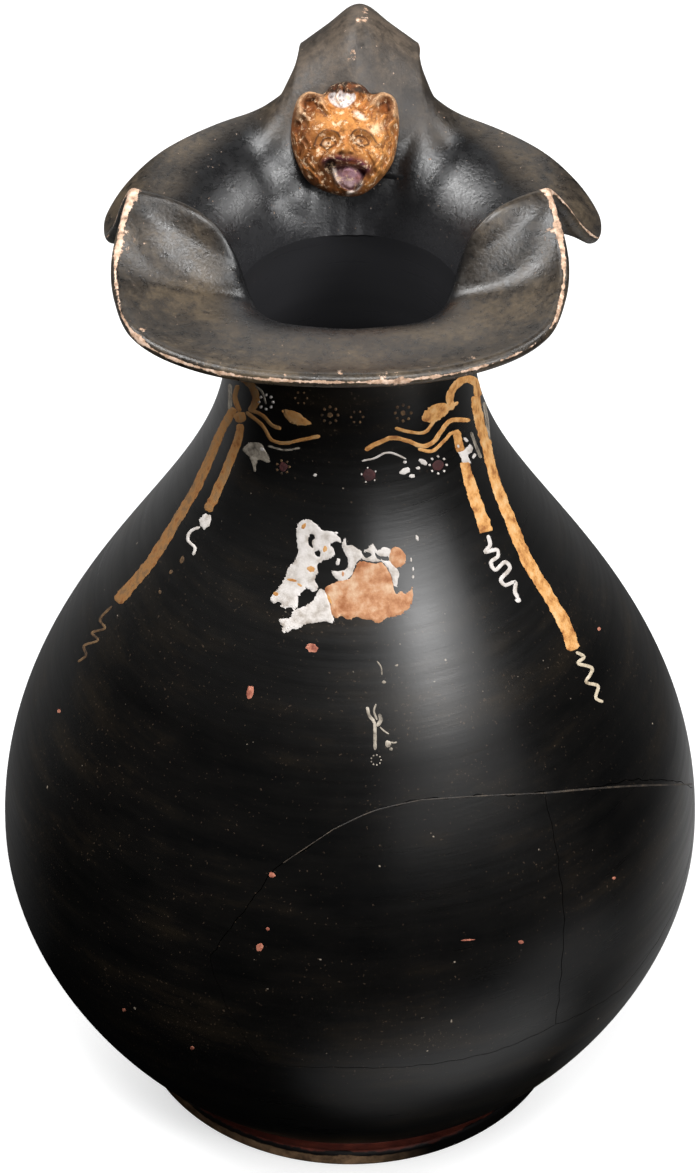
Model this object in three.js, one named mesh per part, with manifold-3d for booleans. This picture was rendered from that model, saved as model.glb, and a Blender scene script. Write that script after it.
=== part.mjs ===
// A trefoil-mouthed wine jug (oinochoe) in fired clay, built from its luted and mended pieces.
// Millimetres, +Z up. The origin is on the floor under the axis of the body; the front lobe of the
// mouth looks towards -Y and the handle stands at +Y.

import * as THREE from 'three';
import { mergeVertices } from 'three/addons/utils/BufferGeometryUtils.js';
import Module from 'manifold-3d';

const wasm = await Module();
wasm.setup();

// Driving sizes: the thrown body
const JOINT = 0.3;
const WALL = 4.3;
const FLOOR_THICKNESS = 5;
const FOOT_HEIGHT = 9;
const FOOT_RADIUS = 54.4;
const FOOT_RING_WIDTH = 9;
const FOOT_GROOVE = 0.8;
const BASE_RADIUS = 55.5;
const BELLY_RADIUS = 85;
const BELLY_HEIGHT = 70;
const NECK_RADIUS = 28.3;
const NECK_HEIGHT = 208;
const NECK_JOINT_HEIGHT = 196;
const MOUTH_JOINT_HEIGHT = 222;
const MOUTH_JOINT_RADIUS = 29.4;

// Driving sizes: the folded mouth
const LIP_THICKNESS = 3.2;
const FRONT_REACH = 51.3;
const FRONT_HALF_WIDTH = 47.4;
const FRONT_LEAN = -2.2;
const FRONT_LIP_HEIGHT = 237;
const PINCH_HEIGHT = 250.5;
const LOBE_HALF_WIDTH = 56;
const LOBE_LEAN = 0.6;
const LOBE_PLACE = 17;
const LOBE_LIP_HEIGHT = 228.5;
const BACK_REACH = 45.6;
const BACK_LIP_HEIGHT = 244.5;

// Driving sizes: the handle and its head
const HANDLE_WIDTH = 27.5;
const HANDLE_ROOT_WIDTH = 46;
const HANDLE_EDGE = 4.6;
const HANDLE_LEAN = 3.2;
const HANDLE_RIDGE = 8.2;
const HANDLE_TOP_HEIGHT = 253;
const HANDLE_REACH = 77;
const HANDLE_ROOT_HEIGHT = 163;
const HEAD_WIDTH = 24;
const HEAD_HEIGHT = 23;
const HEAD_DEPTH = 7.5;
const HEAD_TILT = THREE.MathUtils.degToRad(38);
const HEAD_LEAN = -1;
const HEAD_INSET = 14.6;
const HEAD_DROP = 1.5;

// How finely the curved faces are divided
const TURN_STEPS = 48;
const BODY_STEPS = 16;
const LIP_STEPS_PER_KEY = 3;
const MOUTH_STEPS = 6;

// A closed solid from a stack of rings. A looped stack joins its last ring to its first; any other
// stack is closed by a fan at each end.
function ringSolid(rings, looped) {
  const count = rings[0].length;
  const positions = rings.flat().flatMap((point) => [point.x, point.y, point.z]);
  const faces = [];
  const bands = looped ? rings.length : rings.length - 1;
  for (let band = 0; band < bands; band += 1) {
    const low = band * count;
    const high = ((band + 1) % rings.length) * count;
    for (let step = 0; step < count; step += 1) {
      const next = (step + 1) % count;
      faces.push(low + step, low + next, high + next);
      faces.push(low + step, high + next, high + step);
    }
  }
  if (!looped) {
    for (const [ring, isFirst] of [[0, true], [rings.length - 1, false]]) {
      const centre = new THREE.Vector3();
      rings[ring].forEach((point) => centre.add(point));
      centre.divideScalar(count);
      const hub = positions.length / 3;
      positions.push(centre.x, centre.y, centre.z);
      for (let step = 0; step < count; step += 1) {
        const a = ring * count + step;
        const b = ring * count + ((step + 1) % count);
        faces.push(...(isFirst ? [hub, b, a] : [hub, a, b]));
      }
    }
  }
  return outward(positions, faces);
}

// Turns the faces round if they enclose a negative volume.
function outward(positions, faces) {
  const corner = (index) => new THREE.Vector3().fromArray(positions, index * 3);
  let volume = 0;
  for (let face = 0; face < faces.length; face += 3) {
    const [a, b, c] = [faces[face], faces[face + 1], faces[face + 2]].map(corner);
    volume += a.dot(b.cross(c));
  }
  if (volume < 0) {
    faces.reverse();
  }
  const geometry = new THREE.BufferGeometry();
  geometry.setAttribute('position', new THREE.Float32BufferAttribute(positions, 3));
  geometry.setIndex(faces);
  return geometry;
}

function toSolid(geometry) {
  const bare = geometry.clone();
  bare.deleteAttribute('normal');
  bare.deleteAttribute('uv');
  const merged = mergeVertices(bare, 1e-4);
  return new wasm.Manifold(new wasm.Mesh({
    numProp: 3,
    vertProperties: new Float32Array(merged.attributes.position.array),
    triVerts: new Uint32Array(merged.index.array),
  }));
}

// The largest piece of a cut solid, as a geometry.
function toGeometry(solid) {
  const pieces = solid.decompose();
  pieces.sort((a, b) => b.volume() - a.volume());
  const mesh = pieces[0].getMesh();
  const geometry = new THREE.BufferGeometry();
  geometry.setAttribute('position', new THREE.Float32BufferAttribute(mesh.vertProperties, 3));
  geometry.setIndex([...mesh.triVerts]);
  return geometry;
}

function turnedRing(radius, height) {
  return Array.from({ length: TURN_STEPS }, (_, step) => {
    const turn = (step / TURN_STEPS) * 2 * Math.PI;
    return new THREE.Vector3(radius * Math.sin(turn), -radius * Math.cos(turn), height);
  });
}

// The body's outline is two arcs: base to belly, and belly to neck. Their handles are shares of the
// height that each arc climbs.
const LOWER_RISE = BELLY_HEIGHT - FOOT_HEIGHT - JOINT;
const UPPER_RISE = NECK_HEIGHT - BELLY_HEIGHT;
const FLARE_RISE = MOUTH_JOINT_HEIGHT - NECK_HEIGHT;
const FLARE_SPREAD = MOUTH_JOINT_RADIUS - NECK_RADIUS;
const LOWER_ARC = new THREE.CubicBezierCurve(
  new THREE.Vector2(BASE_RADIUS, FOOT_HEIGHT + JOINT),
  new THREE.Vector2(BASE_RADIUS + LOWER_RISE * 0.221, FOOT_HEIGHT + JOINT + LOWER_RISE * 0.209),
  new THREE.Vector2(BELLY_RADIUS, BELLY_HEIGHT - LOWER_RISE * 0.379),
  new THREE.Vector2(BELLY_RADIUS, BELLY_HEIGHT),
);
const UPPER_ARC = new THREE.CubicBezierCurve(
  new THREE.Vector2(BELLY_RADIUS, BELLY_HEIGHT),
  new THREE.Vector2(BELLY_RADIUS, BELLY_HEIGHT + UPPER_RISE * 0.4275),
  new THREE.Vector2(NECK_RADIUS, NECK_HEIGHT - UPPER_RISE * 0.3138),
  new THREE.Vector2(NECK_RADIUS, NECK_HEIGHT),
);

// The place on an arc at a given height, found by halving.
function arcPlace(arc, height) {
  let low = 0;
  let high = 1;
  for (let halving = 0; halving < 40; halving += 1) {
    const middle = (low + high) / 2;
    if (arc.getPoint(middle).y < height) {
      low = middle;
    } else {
      high = middle;
    }
  }
  return (low + high) / 2;
}

// Outline points from one height to another, moved in by a wall thickness.
function outline(arc, from, to, steps, inset) {
  const start = arcPlace(arc, from);
  const end = arcPlace(arc, to);
  return Array.from({ length: steps + 1 }, (_, step) => {
    const place = start + ((end - start) * step) / steps;
    const point = arc.getPoint(place);
    const along = arc.getTangent(place);
    return new THREE.Vector2(point.x - along.y * inset, point.y + along.x * inset);
  });
}

function vaseShell() {
  const low = FOOT_HEIGHT + JOINT;
  const steps = BODY_STEPS / 2;
  const outer = [
    ...outline(LOWER_ARC, low, BELLY_HEIGHT, steps, 0),
    ...outline(UPPER_ARC, BELLY_HEIGHT, NECK_JOINT_HEIGHT, steps, 0).slice(1),
  ];
  const innerStart = low + FLOOR_THICKNESS;
  const inner = [
    ...outline(LOWER_ARC, innerStart, BELLY_HEIGHT, steps, WALL),
    ...outline(UPPER_ARC, BELLY_HEIGHT, NECK_JOINT_HEIGHT, steps, WALL).slice(1),
  ];
  inner[inner.length - 1].y = NECK_JOINT_HEIGHT;
  const floor = new THREE.Vector2(inner[0].x - FLOOR_THICKNESS, innerStart);
  const profile = [...outer, ...inner.reverse(), floor];
  return toSolid(ringSolid(profile.map((point) => turnedRing(point.x, point.y)), false));
}

// The outlines of the broken-out pieces, as azimuth in degrees and height in shares of the belly's.
// The first list follows the cracks; the far edge of the second goes round the side, out of sight.
const CRACK_CORNER_HIGH = [39.1, 1.751];
const CRACK_CORNER_LOW = [34.5, 0.906];
const FRONT_CRACK = [
  CRACK_CORNER_HIGH, [25.8, 1.817], [13.8, 1.847], [4.7, 1.829], [-2.9, 1.779], [-13.5, 1.643],
  [-20.2, 1.413], [-22.8, 1.306], [-21.7, 1.224], [-16.1, 0.99], [-13.8, 0.904], [-0.9, 0.923],
  [11.1, 0.907], [24.2, 0.893], CRACK_CORNER_LOW, [35.3, 1.12], [37.1, 1.344], [38.3, 1.567],
];
const FLANK_CRACK = [
  CRACK_CORNER_HIGH, [38.3, 1.567], [37.1, 1.344], [35.3, 1.12], CRACK_CORNER_LOW, [50, 0.857],
  [66, 0.943], [78, 1.06], [83.5, 1.214], [76, 1.365], [68.6, 1.485], [60, 1.597], [49, 1.686],
];

// Moves a closed outline in by a distance measured on the wall.
function insetOutline(crack, inset) {
  const wall = crack.map(([azimuth, height]) => (
    new THREE.Vector2(THREE.MathUtils.degToRad(azimuth) * BELLY_RADIUS, height * BELLY_HEIGHT)));
  const area = THREE.ShapeUtils.area(wall);
  return wall.map((point, index) => {
    const before = wall[(index + wall.length - 1) % wall.length];
    const after = wall[(index + 1) % wall.length];
    const first = point.clone().sub(before).normalize();
    const second = after.clone().sub(point).normalize();
    const middle = first.clone().add(second).normalize();
    const side = Math.sign(area) * (inset / Math.max(0.3, middle.dot(first)));
    return new THREE.Vector2(point.x - middle.y * side, point.y + middle.x * side);
  });
}

// A block that takes a stretch of wall out from the inside to the outside.
function crackBlock(crack, inset) {
  const wall = insetOutline(crack, inset);
  const reaches = [0.3, 0.72, 0.87, 1.02, 1.6].map((share) => BELLY_RADIUS * share);
  const positions = reaches.flatMap((reach) => wall.flatMap((point) => {
    const turn = point.x / BELLY_RADIUS;
    return [reach * Math.sin(turn), -reach * Math.cos(turn), point.y];
  }));
  const faces = [];
  const outermost = wall.length * (reaches.length - 1);
  THREE.ShapeUtils.triangulateShape(wall, []).forEach(([a, b, c]) => {
    faces.push(a, c, b, a + outermost, b + outermost, c + outermost);
  });
  const isLeftHanded = THREE.ShapeUtils.area(wall) > 0;
  const outside = wall.length;
  wall.forEach((_, index) => {
    const next = (index + 1) % wall.length;
    const [first, second] = isLeftHanded ? [index, next] : [next, index];
    for (let reach = 0; reach < reaches.length - 1; reach += 1) {
      const a = first + reach * outside;
      const b = second + reach * outside;
      // Two blocks that share a crack split its faces along the same diagonal.
      if (wall[first].y < wall[second].y) {
        faces.push(a, b, b + outside, a, b + outside, a + outside);
      } else {
        faces.push(a, b, a + outside, b, b + outside, a + outside);
      }
    }
  });
  return toSolid(outward(positions, faces));
}

function footGeometry() {
  const inner = FOOT_RADIUS - FOOT_RING_WIDTH;
  const groove = FOOT_HEIGHT * 0.55;
  const profile = [
    [FOOT_RADIUS - FOOT_GROOVE, 0], [FOOT_RADIUS, FOOT_GROOVE], [FOOT_RADIUS, groove - FOOT_GROOVE],
    [FOOT_RADIUS - FOOT_GROOVE, groove], [FOOT_RADIUS, groove + FOOT_GROOVE],
    [BASE_RADIUS, FOOT_HEIGHT], [inner, FOOT_HEIGHT], [inner, FOOT_GROOVE], [inner + FOOT_GROOVE, 0],
  ];
  return ringSolid(profile.map(([radius, height]) => turnedRing(radius, height)), true);
}

function neckGeometry() {
  const low = NECK_JOINT_HEIGHT + JOINT;
  const flare = new THREE.CubicBezierCurve(
    new THREE.Vector2(NECK_RADIUS, NECK_HEIGHT),
    new THREE.Vector2(NECK_RADIUS, NECK_HEIGHT + FLARE_RISE * 0.36),
    new THREE.Vector2(NECK_RADIUS + FLARE_SPREAD * 0.2, NECK_HEIGHT + FLARE_RISE * 0.72),
    new THREE.Vector2(MOUTH_JOINT_RADIUS, MOUTH_JOINT_HEIGHT),
  );
  const side = (inset) => [
    ...outline(UPPER_ARC, low, NECK_HEIGHT, 2, inset),
    ...outline(flare, NECK_HEIGHT, MOUTH_JOINT_HEIGHT, 2, inset).slice(1),
  ];
  const inner = side(WALL);
  inner[0].y = low;
  inner[inner.length - 1].y = MOUTH_JOINT_HEIGHT;
  const profile = [...side(0), ...inner.reverse()];
  return ringSolid(profile.map((point) => turnedRing(point.x, point.y)), true);
}

// The height from the mouth's joint to the pinched peaks, which the wall's own heights are shares of.
const mouthHeight = (share) => THREE.MathUtils.lerp(MOUTH_JOINT_HEIGHT, PINCH_HEIGHT, share);

// Places along one half of the lip, from the front to the back. Each gives the lip point, the
// azimuth at the throat that it grew from, and the two points that shape the wall between them, as
// shares of the way to the lip and of the mouth's height.
function lipKeys(side) {
  const front = (across, forward, lift) => new THREE.Vector3(
    FRONT_LEAN + side * FRONT_HALF_WIDTH * across,
    -FRONT_REACH * forward,
    THREE.MathUtils.lerp(FRONT_LIP_HEIGHT, PINCH_HEIGHT, lift),
  );
  const pinch = front(0.95, 0, 1);
  const lobe = new THREE.Vector3(
    LOBE_LEAN + side * LOBE_HALF_WIDTH, LOBE_PLACE, LOBE_LIP_HEIGHT);
  const fold = (share, drop) => new THREE.Vector3(
    THREE.MathUtils.lerp(pinch.x, lobe.x, share),
    THREE.MathUtils.lerp(pinch.y, lobe.y, share),
    THREE.MathUtils.lerp(pinch.z, lobe.z, drop),
  );
  const back = (across, place, lift) => new THREE.Vector3(
    lobe.x * across,
    THREE.MathUtils.lerp(LOBE_PLACE, BACK_REACH, place),
    THREE.MathUtils.lerp(LOBE_LIP_HEIGHT, BACK_LIP_HEIGHT, lift),
  );
  return [
    { lip: front(0.41, 0.962, 0), throat: 12, rise: [-0.03, 0.596], crown: [0.42, 0.351] },
    { lip: front(0.72, 0.855, 0.04), throat: 24, rise: [-0.03, 0.561], crown: [0.42, 0.316] },
    { lip: front(0.91, 0.7, 0.11), throat: 33, rise: [-0.03, 0.526], crown: [0.45, 0.316] },
    { lip: front(0.985, 0.49, 0.22), throat: 41, rise: [-0.03, 0.526], crown: [0.48, 0.316] },
    { lip: front(1, 0.31, 0.45), throat: 49, rise: [-0.03, 0.561], crown: [0.5, 0.386] },
    { lip: front(0.97, 0.13, 0.8), throat: 57, rise: [-0.02, 0.702], crown: [0.45, 0.702] },
    { lip: pinch, throat: 64, rise: [0, 0.877], crown: [0.36, 1] },
    { lip: fold(0.3, 0.3), throat: 71, rise: [0.03, 0.772], crown: [0.42, 0.912] },
    { lip: fold(0.66, 0.74), throat: 79, rise: [0.07, 0.62], crown: [0.52, 0.807] },
    { lip: fold(0.95, 1), throat: 88, rise: [0.1, 0.5], crown: [0.58, 0.737] },
    { lip: back(0.99, 0.16, 0.12), throat: 99, rise: [0.12, 0.42], crown: [0.6, 0.702] },
    { lip: back(0.9, 0.4, 0.4), throat: 111, rise: [0.12, 0.4], crown: [0.58, 0.702] },
    { lip: back(0.745, 0.65, 0.65), throat: 125, rise: [0.12, 0.37], crown: [0.52, 0.702] },
    { lip: back(0.5, 0.88, 0.84), throat: 143, rise: [0.12, 0.36], crown: [0.5, 0.67] },
    { lip: back(0.25, 0.98, 0.96), throat: 161, rise: [0.12, 0.35], crown: [0.5, 0.66] },
  ].map((key) => ({ ...key, throat: side * key.throat }));
}

// Rings of the mouth, one for each place round its section, moved outwards by an extra growth.
function mouthRings(growth) {
  const right = lipKeys(1);
  const left = lipKeys(-1).reverse();
  const frontKey = {
    lip: new THREE.Vector3(FRONT_LEAN / 2, -FRONT_REACH, FRONT_LIP_HEIGHT),
    throat: 0, rise: [-0.03, 0.596], crown: [0.42, 0.351],
  };
  const backKey = {
    lip: new THREE.Vector3(0, BACK_REACH, BACK_LIP_HEIGHT),
    throat: 180, rise: [0.12, 0.35], crown: [0.5, 0.66],
  };
  const keys = [frontKey, ...right, backKey, ...left];
  const bore = MOUTH_JOINT_RADIUS - WALL;
  const seat = MOUTH_JOINT_HEIGHT + JOINT;
  const throats = keys.map((key) => {
    const turn = THREE.MathUtils.degToRad(key.throat);
    return new THREE.Vector3(bore * Math.sin(turn), -bore * Math.cos(turn), seat);
  });
  const towardsLip = ([share, height], key, index) => (
    throats[index].clone().lerp(key.lip, share).setZ(mouthHeight(height)));
  const rises = keys.map((key, index) => towardsLip(key.rise, key, index));
  const crowns = keys.map((key, index) => towardsLip(key.crown, key, index));
  const lips = keys.map((key) => key.lip);
  const curves = [throats, rises, crowns, lips].map((points) => (
    new THREE.CatmullRomCurve3(points, true, 'catmullrom', 0.5)));
  const turns = keys.length * LIP_STEPS_PER_KEY;
  const sections = Array.from({ length: turns }, (_, turn) => (
    mouthSection(curves.map((curve) => curve.getPoint(turn / turns)), growth)));
  return sections[0].map((_, place) => sections.map((section) => section[place]));
}

// One section of the mouth's wall: up the inside, round the lip and down the outside.
function mouthSection([throat, rise, crown, lip], growth) {
  const path = new THREE.CubicBezierCurve3(throat, rise, crown, lip);
  const inside = [];
  const outside = [];
  for (let step = 0; step <= MOUTH_STEPS; step += 1) {
    const place = step / MOUTH_STEPS;
    const point = path.getPoint(place);
    const along = path.getTangent(place);
    const radial = new THREE.Vector3(point.x, point.y, 0).normalize();
    const run = along.dot(radial);
    const normal = radial.clone().multiplyScalar(along.z).setZ(-run).normalize();
    const thickness = THREE.MathUtils.lerp(WALL, LIP_THICKNESS, place);
    inside.push(point.clone().addScaledVector(normal, -growth));
    outside.push(point.clone().addScaledVector(normal, thickness + growth));
    if (step === MOUTH_STEPS) {
      const middle = point.clone().addScaledVector(normal, thickness / 2);
      const tip = radial.clone().multiplyScalar(run).setZ(along.z).normalize();
      inside.push(middle.addScaledVector(tip, LIP_THICKNESS / 2 + growth));
    }
  }
  outside[0].z = throat.z - growth;
  inside[0].z = throat.z - growth;
  return [...inside, ...outside.reverse()];
}

const mouthSolid = (growth) => toSolid(ringSolid(mouthRings(growth), true));

// The strap's gabled section: rounded edges, a ridge outside and a flat underside.
function strapSection(width, ridge, thickness, growth) {
  const half = width / 2 + growth;
  const edge = thickness / 2 + growth;
  const top = edge + ridge;
  return [
    [-half, -edge * 0.4], [-half, edge * 0.5], [-half * 0.9, edge], [-half * 0.5, edge + ridge * 0.47],
    [-half * 0.14, top - ridge * 0.08], [half * 0.14, top - ridge * 0.08],
    [half * 0.5, edge + ridge * 0.47], [half * 0.9, edge], [half, edge * 0.5], [half, -edge * 0.4],
    [half * 0.8, -edge], [-half * 0.8, -edge],
  ];
}

// The strap's run from the lip up over its top and down to the shoulder, with its width and ridge.
function handleSolid(growth) {
  const root = outlineRadius(HANDLE_ROOT_HEIGHT);
  // Places between the back of the lip and the furthest reach, and heights down to the root.
  const away = (share) => THREE.MathUtils.lerp(BACK_REACH, HANDLE_REACH, share);
  const rise = (share) => THREE.MathUtils.lerp(BACK_LIP_HEIGHT, HANDLE_TOP_HEIGHT, share);
  const drop = (share) => THREE.MathUtils.lerp(HANDLE_TOP_HEIGHT, HANDLE_ROOT_HEIGHT, share);
  const keys = [
    [away(-0.433), rise(-1.176), HANDLE_ROOT_WIDTH, HANDLE_RIDGE * 0.1, HANDLE_EDGE * 0.5],
    [away(-0.258), rise(-0.176), HANDLE_ROOT_WIDTH * 0.84, HANDLE_RIDGE * 0.25, HANDLE_EDGE * 0.7],
    [away(-0.051), rise(0.588), HANDLE_WIDTH * 1.1, HANDLE_RIDGE * 0.6, HANDLE_EDGE],
    [away(0.22), drop(0), HANDLE_WIDTH, HANDLE_RIDGE, HANDLE_EDGE],
    [away(0.522), drop(0.044), HANDLE_WIDTH, HANDLE_RIDGE, HANDLE_EDGE],
    [away(0.793), drop(0.156), HANDLE_WIDTH * 0.97, HANDLE_RIDGE * 0.9, HANDLE_EDGE],
    [away(0.952), drop(0.322), HANDLE_WIDTH * 0.93, HANDLE_RIDGE * 0.75, HANDLE_EDGE],
    [away(1), drop(0.5), HANDLE_WIDTH * 0.9, HANDLE_RIDGE * 0.65, HANDLE_EDGE],
    [away(0.873), drop(0.711), HANDLE_WIDTH * 0.92, HANDLE_RIDGE * 0.6, HANDLE_EDGE],
    [away(0.586), drop(0.878), HANDLE_WIDTH, HANDLE_RIDGE * 0.5, HANDLE_EDGE],
    [root * 1.055, drop(0.978), HANDLE_WIDTH * 1.15, HANDLE_RIDGE * 0.35, HANDLE_EDGE],
    [root * 0.871, drop(1.044), HANDLE_WIDTH * 1.25, HANDLE_RIDGE * 0.2, HANDLE_EDGE],
  ];
  const run = new THREE.CatmullRomCurve3(keys.map(([y, z]) => new THREE.Vector3(0, y, z)));
  const sizes = new THREE.CatmullRomCurve3(keys.map(([, , width, ridge, edge]) => (
    new THREE.Vector3(width, ridge, edge))), false, 'catmullrom', 0.5);
  const steps = (keys.length - 1) * 2;
  const rings = Array.from({ length: steps + 1 }, (_, step) => {
    const place = step / steps;
    const point = run.getPoint(place);
    const along = run.getTangent(place);
    const out = new THREE.Vector3(0, -along.z, along.y);
    const size = sizes.getPoint(place);
    const lean = HANDLE_LEAN * Math.min(1, 0.35 + place);
    return strapSection(size.x, size.y, size.z, growth).map(([across, up]) => (
      point.clone().addScaledVector(out, up).setX(across + lean)));
  });
  return toSolid(ringSolid(rings, false));
}

function outlineRadius(height) {
  const arc = height < BELLY_HEIGHT ? LOWER_ARC : UPPER_ARC;
  return arc.getPoint(arcPlace(arc, height)).x;
}

// The outside of the body and neck as one full solid, a joint's width larger than the jug.
function vaseBlock() {
  const outer = [
    ...outline(LOWER_ARC, FOOT_HEIGHT + JOINT, BELLY_HEIGHT, BODY_STEPS / 2, -JOINT),
    ...outline(UPPER_ARC, BELLY_HEIGHT, NECK_HEIGHT, BODY_STEPS / 2, -JOINT).slice(1),
  ];
  return toSolid(ringSolid(outer.map((point) => turnedRing(point.x, point.y)), false));
}

// The moulded head, in its own frame: X across, Y up the face and Z out of it.
function headSolid() {
  const half = HEAD_WIDTH / 2;
  const tall = HEAD_HEIGHT / 2;
  const egg = (place, size) => {
    const geometry = new THREE.SphereGeometry(1, 12, 8);
    geometry.scale(half * size[0], tall * size[1], HEAD_DEPTH * size[2]);
    geometry.translate(half * place[0], tall * place[1], HEAD_DEPTH * place[2]);
    return toSolid(geometry);
  };
  const pair = (place, size) => (
    egg(place, size).add(egg([-place[0], place[1], place[2]], size)));
  const head = egg([0, 0, 0], [1, 1, 1])
    .add(egg([0, -0.36, 0.7], [0.52, 0.46, 0.62]))
    .add(egg([0, -0.12, 1.08], [0.26, 0.22, 0.4]))
    .add(egg([0, -0.74, 0.55], [0.42, 0.26, 0.5]))
    .add(pair([0.33, 0.28, 0.72], [0.28, 0.16, 0.28]))
    .add(pair([0.5, -0.28, 0.6], [0.28, 0.34, 0.36]))
    .add(pair([0.72, 0.74, 0.38], [0.26, 0.26, 0.42]))
    .subtract(egg([0, -0.58, 1.32], [0.4, 0.13, 0.62]));
  const across = new THREE.Vector3(1, 0, 0);
  const up = new THREE.Vector3(0, Math.sin(HEAD_TILT), Math.cos(HEAD_TILT));
  const out = new THREE.Vector3(0, -Math.cos(HEAD_TILT), Math.sin(HEAD_TILT));
  const place = new THREE.Matrix4().makeBasis(across, up, out);
  place.setPosition(HEAD_LEAN, BACK_REACH - HEAD_INSET, BACK_LIP_HEIGHT - HEAD_DROP);
  return head.transform(place.elements);
}

const colours = {
  glaze: { color: '#17140f', roughness: 0.32 },
  handleGlaze: { color: '#4a443c', roughness: 0.4 },
  mouthGlaze: { color: '#2b2721', roughness: 0.34 },
  footGlaze: { color: '#3a1f1a', roughness: 0.5 },
  ochre: { color: '#c98443', roughness: 0.7 },
};

const jug = new THREE.Group();
jug.name = 'oinochoe';

function add(name, geometry, finish) {
  const material = new THREE.MeshStandardMaterial({ ...finish, metalness: 0 });
  const mesh = new THREE.Mesh(geometry, material);
  mesh.name = name;
  jug.add(mesh);
}

const shell = vaseShell();
const frontHole = crackBlock(FRONT_CRACK, -JOINT / 2);
const flankHole = crackBlock(FLANK_CRACK, -JOINT / 2);
const handle = (growth) => handleSolid(growth).subtract(mouthSolid(JOINT)).subtract(vaseBlock());

add('foot_ring', footGeometry(), colours.footGlaze);
add('body_wall', toGeometry(shell.subtract(frontHole).subtract(flankHole)), colours.glaze);
add('front_sherd', toGeometry(shell.intersect(crackBlock(FRONT_CRACK, JOINT / 2))), colours.glaze);
add('flank_sherd', toGeometry(shell.intersect(crackBlock(FLANK_CRACK, JOINT / 2))), colours.glaze);
add('neck', neckGeometry(), colours.glaze);
add('trefoil_mouth', ringSolid(mouthRings(0), true), colours.mouthGlaze);
add('handle', toGeometry(handle(0)), colours.handleGlaze);
add('lion_head', toGeometry(
  headSolid().subtract(handleSolid(JOINT)).subtract(mouthSolid(JOINT)),
), colours.ochre);

export default jug;
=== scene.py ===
# %% [markdown]
# # A trefoil-mouthed wine jug in black-glazed clay
#
# This lesson dresses a plain solid model of an ancient wine jug. The solids give every size. Here
# each one is made again as a fine surface, worked out with numpy, and given a finish that is named
# for the real one: black gloss, worn brown gloss, clay slips and bare clay.
#
# All lengths are in millimetres until a mesh is made. Z is up, the origin is on the floor under the
# jug's axis, and the front lobe of the mouth looks towards -Y.

# %% Load the fixed frame
import math

import bpy
import numpy as np
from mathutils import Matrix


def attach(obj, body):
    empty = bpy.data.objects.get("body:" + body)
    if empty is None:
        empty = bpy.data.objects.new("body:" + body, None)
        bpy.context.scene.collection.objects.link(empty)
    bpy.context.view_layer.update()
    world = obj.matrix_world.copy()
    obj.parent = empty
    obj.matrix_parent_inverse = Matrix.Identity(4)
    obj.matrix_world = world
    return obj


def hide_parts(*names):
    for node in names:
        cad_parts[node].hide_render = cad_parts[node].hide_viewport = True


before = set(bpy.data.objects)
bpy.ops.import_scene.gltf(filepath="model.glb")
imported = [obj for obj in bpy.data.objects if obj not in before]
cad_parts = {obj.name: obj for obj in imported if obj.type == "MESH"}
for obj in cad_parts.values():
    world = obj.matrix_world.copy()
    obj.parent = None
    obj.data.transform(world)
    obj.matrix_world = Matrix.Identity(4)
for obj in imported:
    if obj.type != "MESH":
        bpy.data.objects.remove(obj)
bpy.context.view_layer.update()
scene = bpy.context.scene
chance = np.random.default_rng(11)
MM = 0.001
print("solids in the frame:", sorted(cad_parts))

# %% [markdown]
# ## The jug's own sizes
#
# A potter would take these with callipers. They are the same values as the solids have, so every
# fine piece lies where its solid does.

# %% Sizes of the thrown body, the mouth, the handle and the head
JOINT = 0.3
WALL = 4.3
FLOOR_THICKNESS = 5
FOOT_HEIGHT = 9
FOOT_RADIUS = 54.4
FOOT_RING_WIDTH = 9
FOOT_GROOVE = 0.8
FOOT_CORNER = 0.9
BASE_RADIUS = 55.5
BELLY_RADIUS = 85
BELLY_HEIGHT = 70
NECK_RADIUS = 28.3
NECK_HEIGHT = 208
NECK_JOINT_HEIGHT = 196
MOUTH_JOINT_HEIGHT = 222
MOUTH_JOINT_RADIUS = 29.4
LIP_THICKNESS = 3.2
FRONT_REACH = 51.3
FRONT_HALF_WIDTH = 47.4
FRONT_LEAN = -2.2
FRONT_LIP_HEIGHT = 237
PINCH_HEIGHT = 250.5
LOBE_HALF_WIDTH = 56
LOBE_LEAN = 0.6
LOBE_PLACE = 17
LOBE_LIP_HEIGHT = 228.5
BACK_REACH = 45.6
BACK_LIP_HEIGHT = 244.5
HANDLE_WIDTH = 27.5
HANDLE_EDGE = 4.6
HANDLE_LEAN = 3.2
HANDLE_RIDGE = 8.2
HANDLE_TOP_HEIGHT = 253
HANDLE_REACH = 77
HANDLE_ROOT_HEIGHT = 163
HEAD_DEPTH = 7.5
HEAD_TILT = math.radians(38)
HEAD_PLACE = np.array([-1, BACK_REACH - 14.6, BACK_LIP_HEIGHT - 1.5])
print("the belly is", 2 * BELLY_RADIUS, "mm wide")

# %% [markdown]
# ## Curves
#
# Two kinds of curve draw the whole jug. A cubic Bezier bends one run between two ends, and a
# Catmull-Rom curve passes through a row of keys. Both take whole arrays of places at once, so one
# call gives a whole outline.

# %% Bezier and Catmull-Rom curves on arrays
def between(low, high, share_of):
    """low + (high - low) * share_of."""
    return low + (high - low) * share_of


def bezier(points, share):
    """Sum of four points weighted by (1-t)^3, 3t(1-t)^2, 3t^2(1-t) and t^3."""
    a, b, c, d = (np.asarray(point, float) for point in points)
    t = np.asarray(share, float)[..., None]
    return (1 - t) ** 3 * a + 3 * t * (1 - t) ** 2 * b + 3 * t**2 * (1 - t) * c + t**3 * d


def bezier_slope(points, share):
    """The derivative: 3(1-t)^2 (b-a) + 6t(1-t) (c-b) + 3t^2 (d-c)."""
    a, b, c, d = (np.asarray(point, float) for point in points)
    t = np.asarray(share, float)[..., None]
    return 3 * (1 - t) ** 2 * (b - a) + 6 * t * (1 - t) * (c - b) + 3 * t**2 * (d - c)


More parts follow.
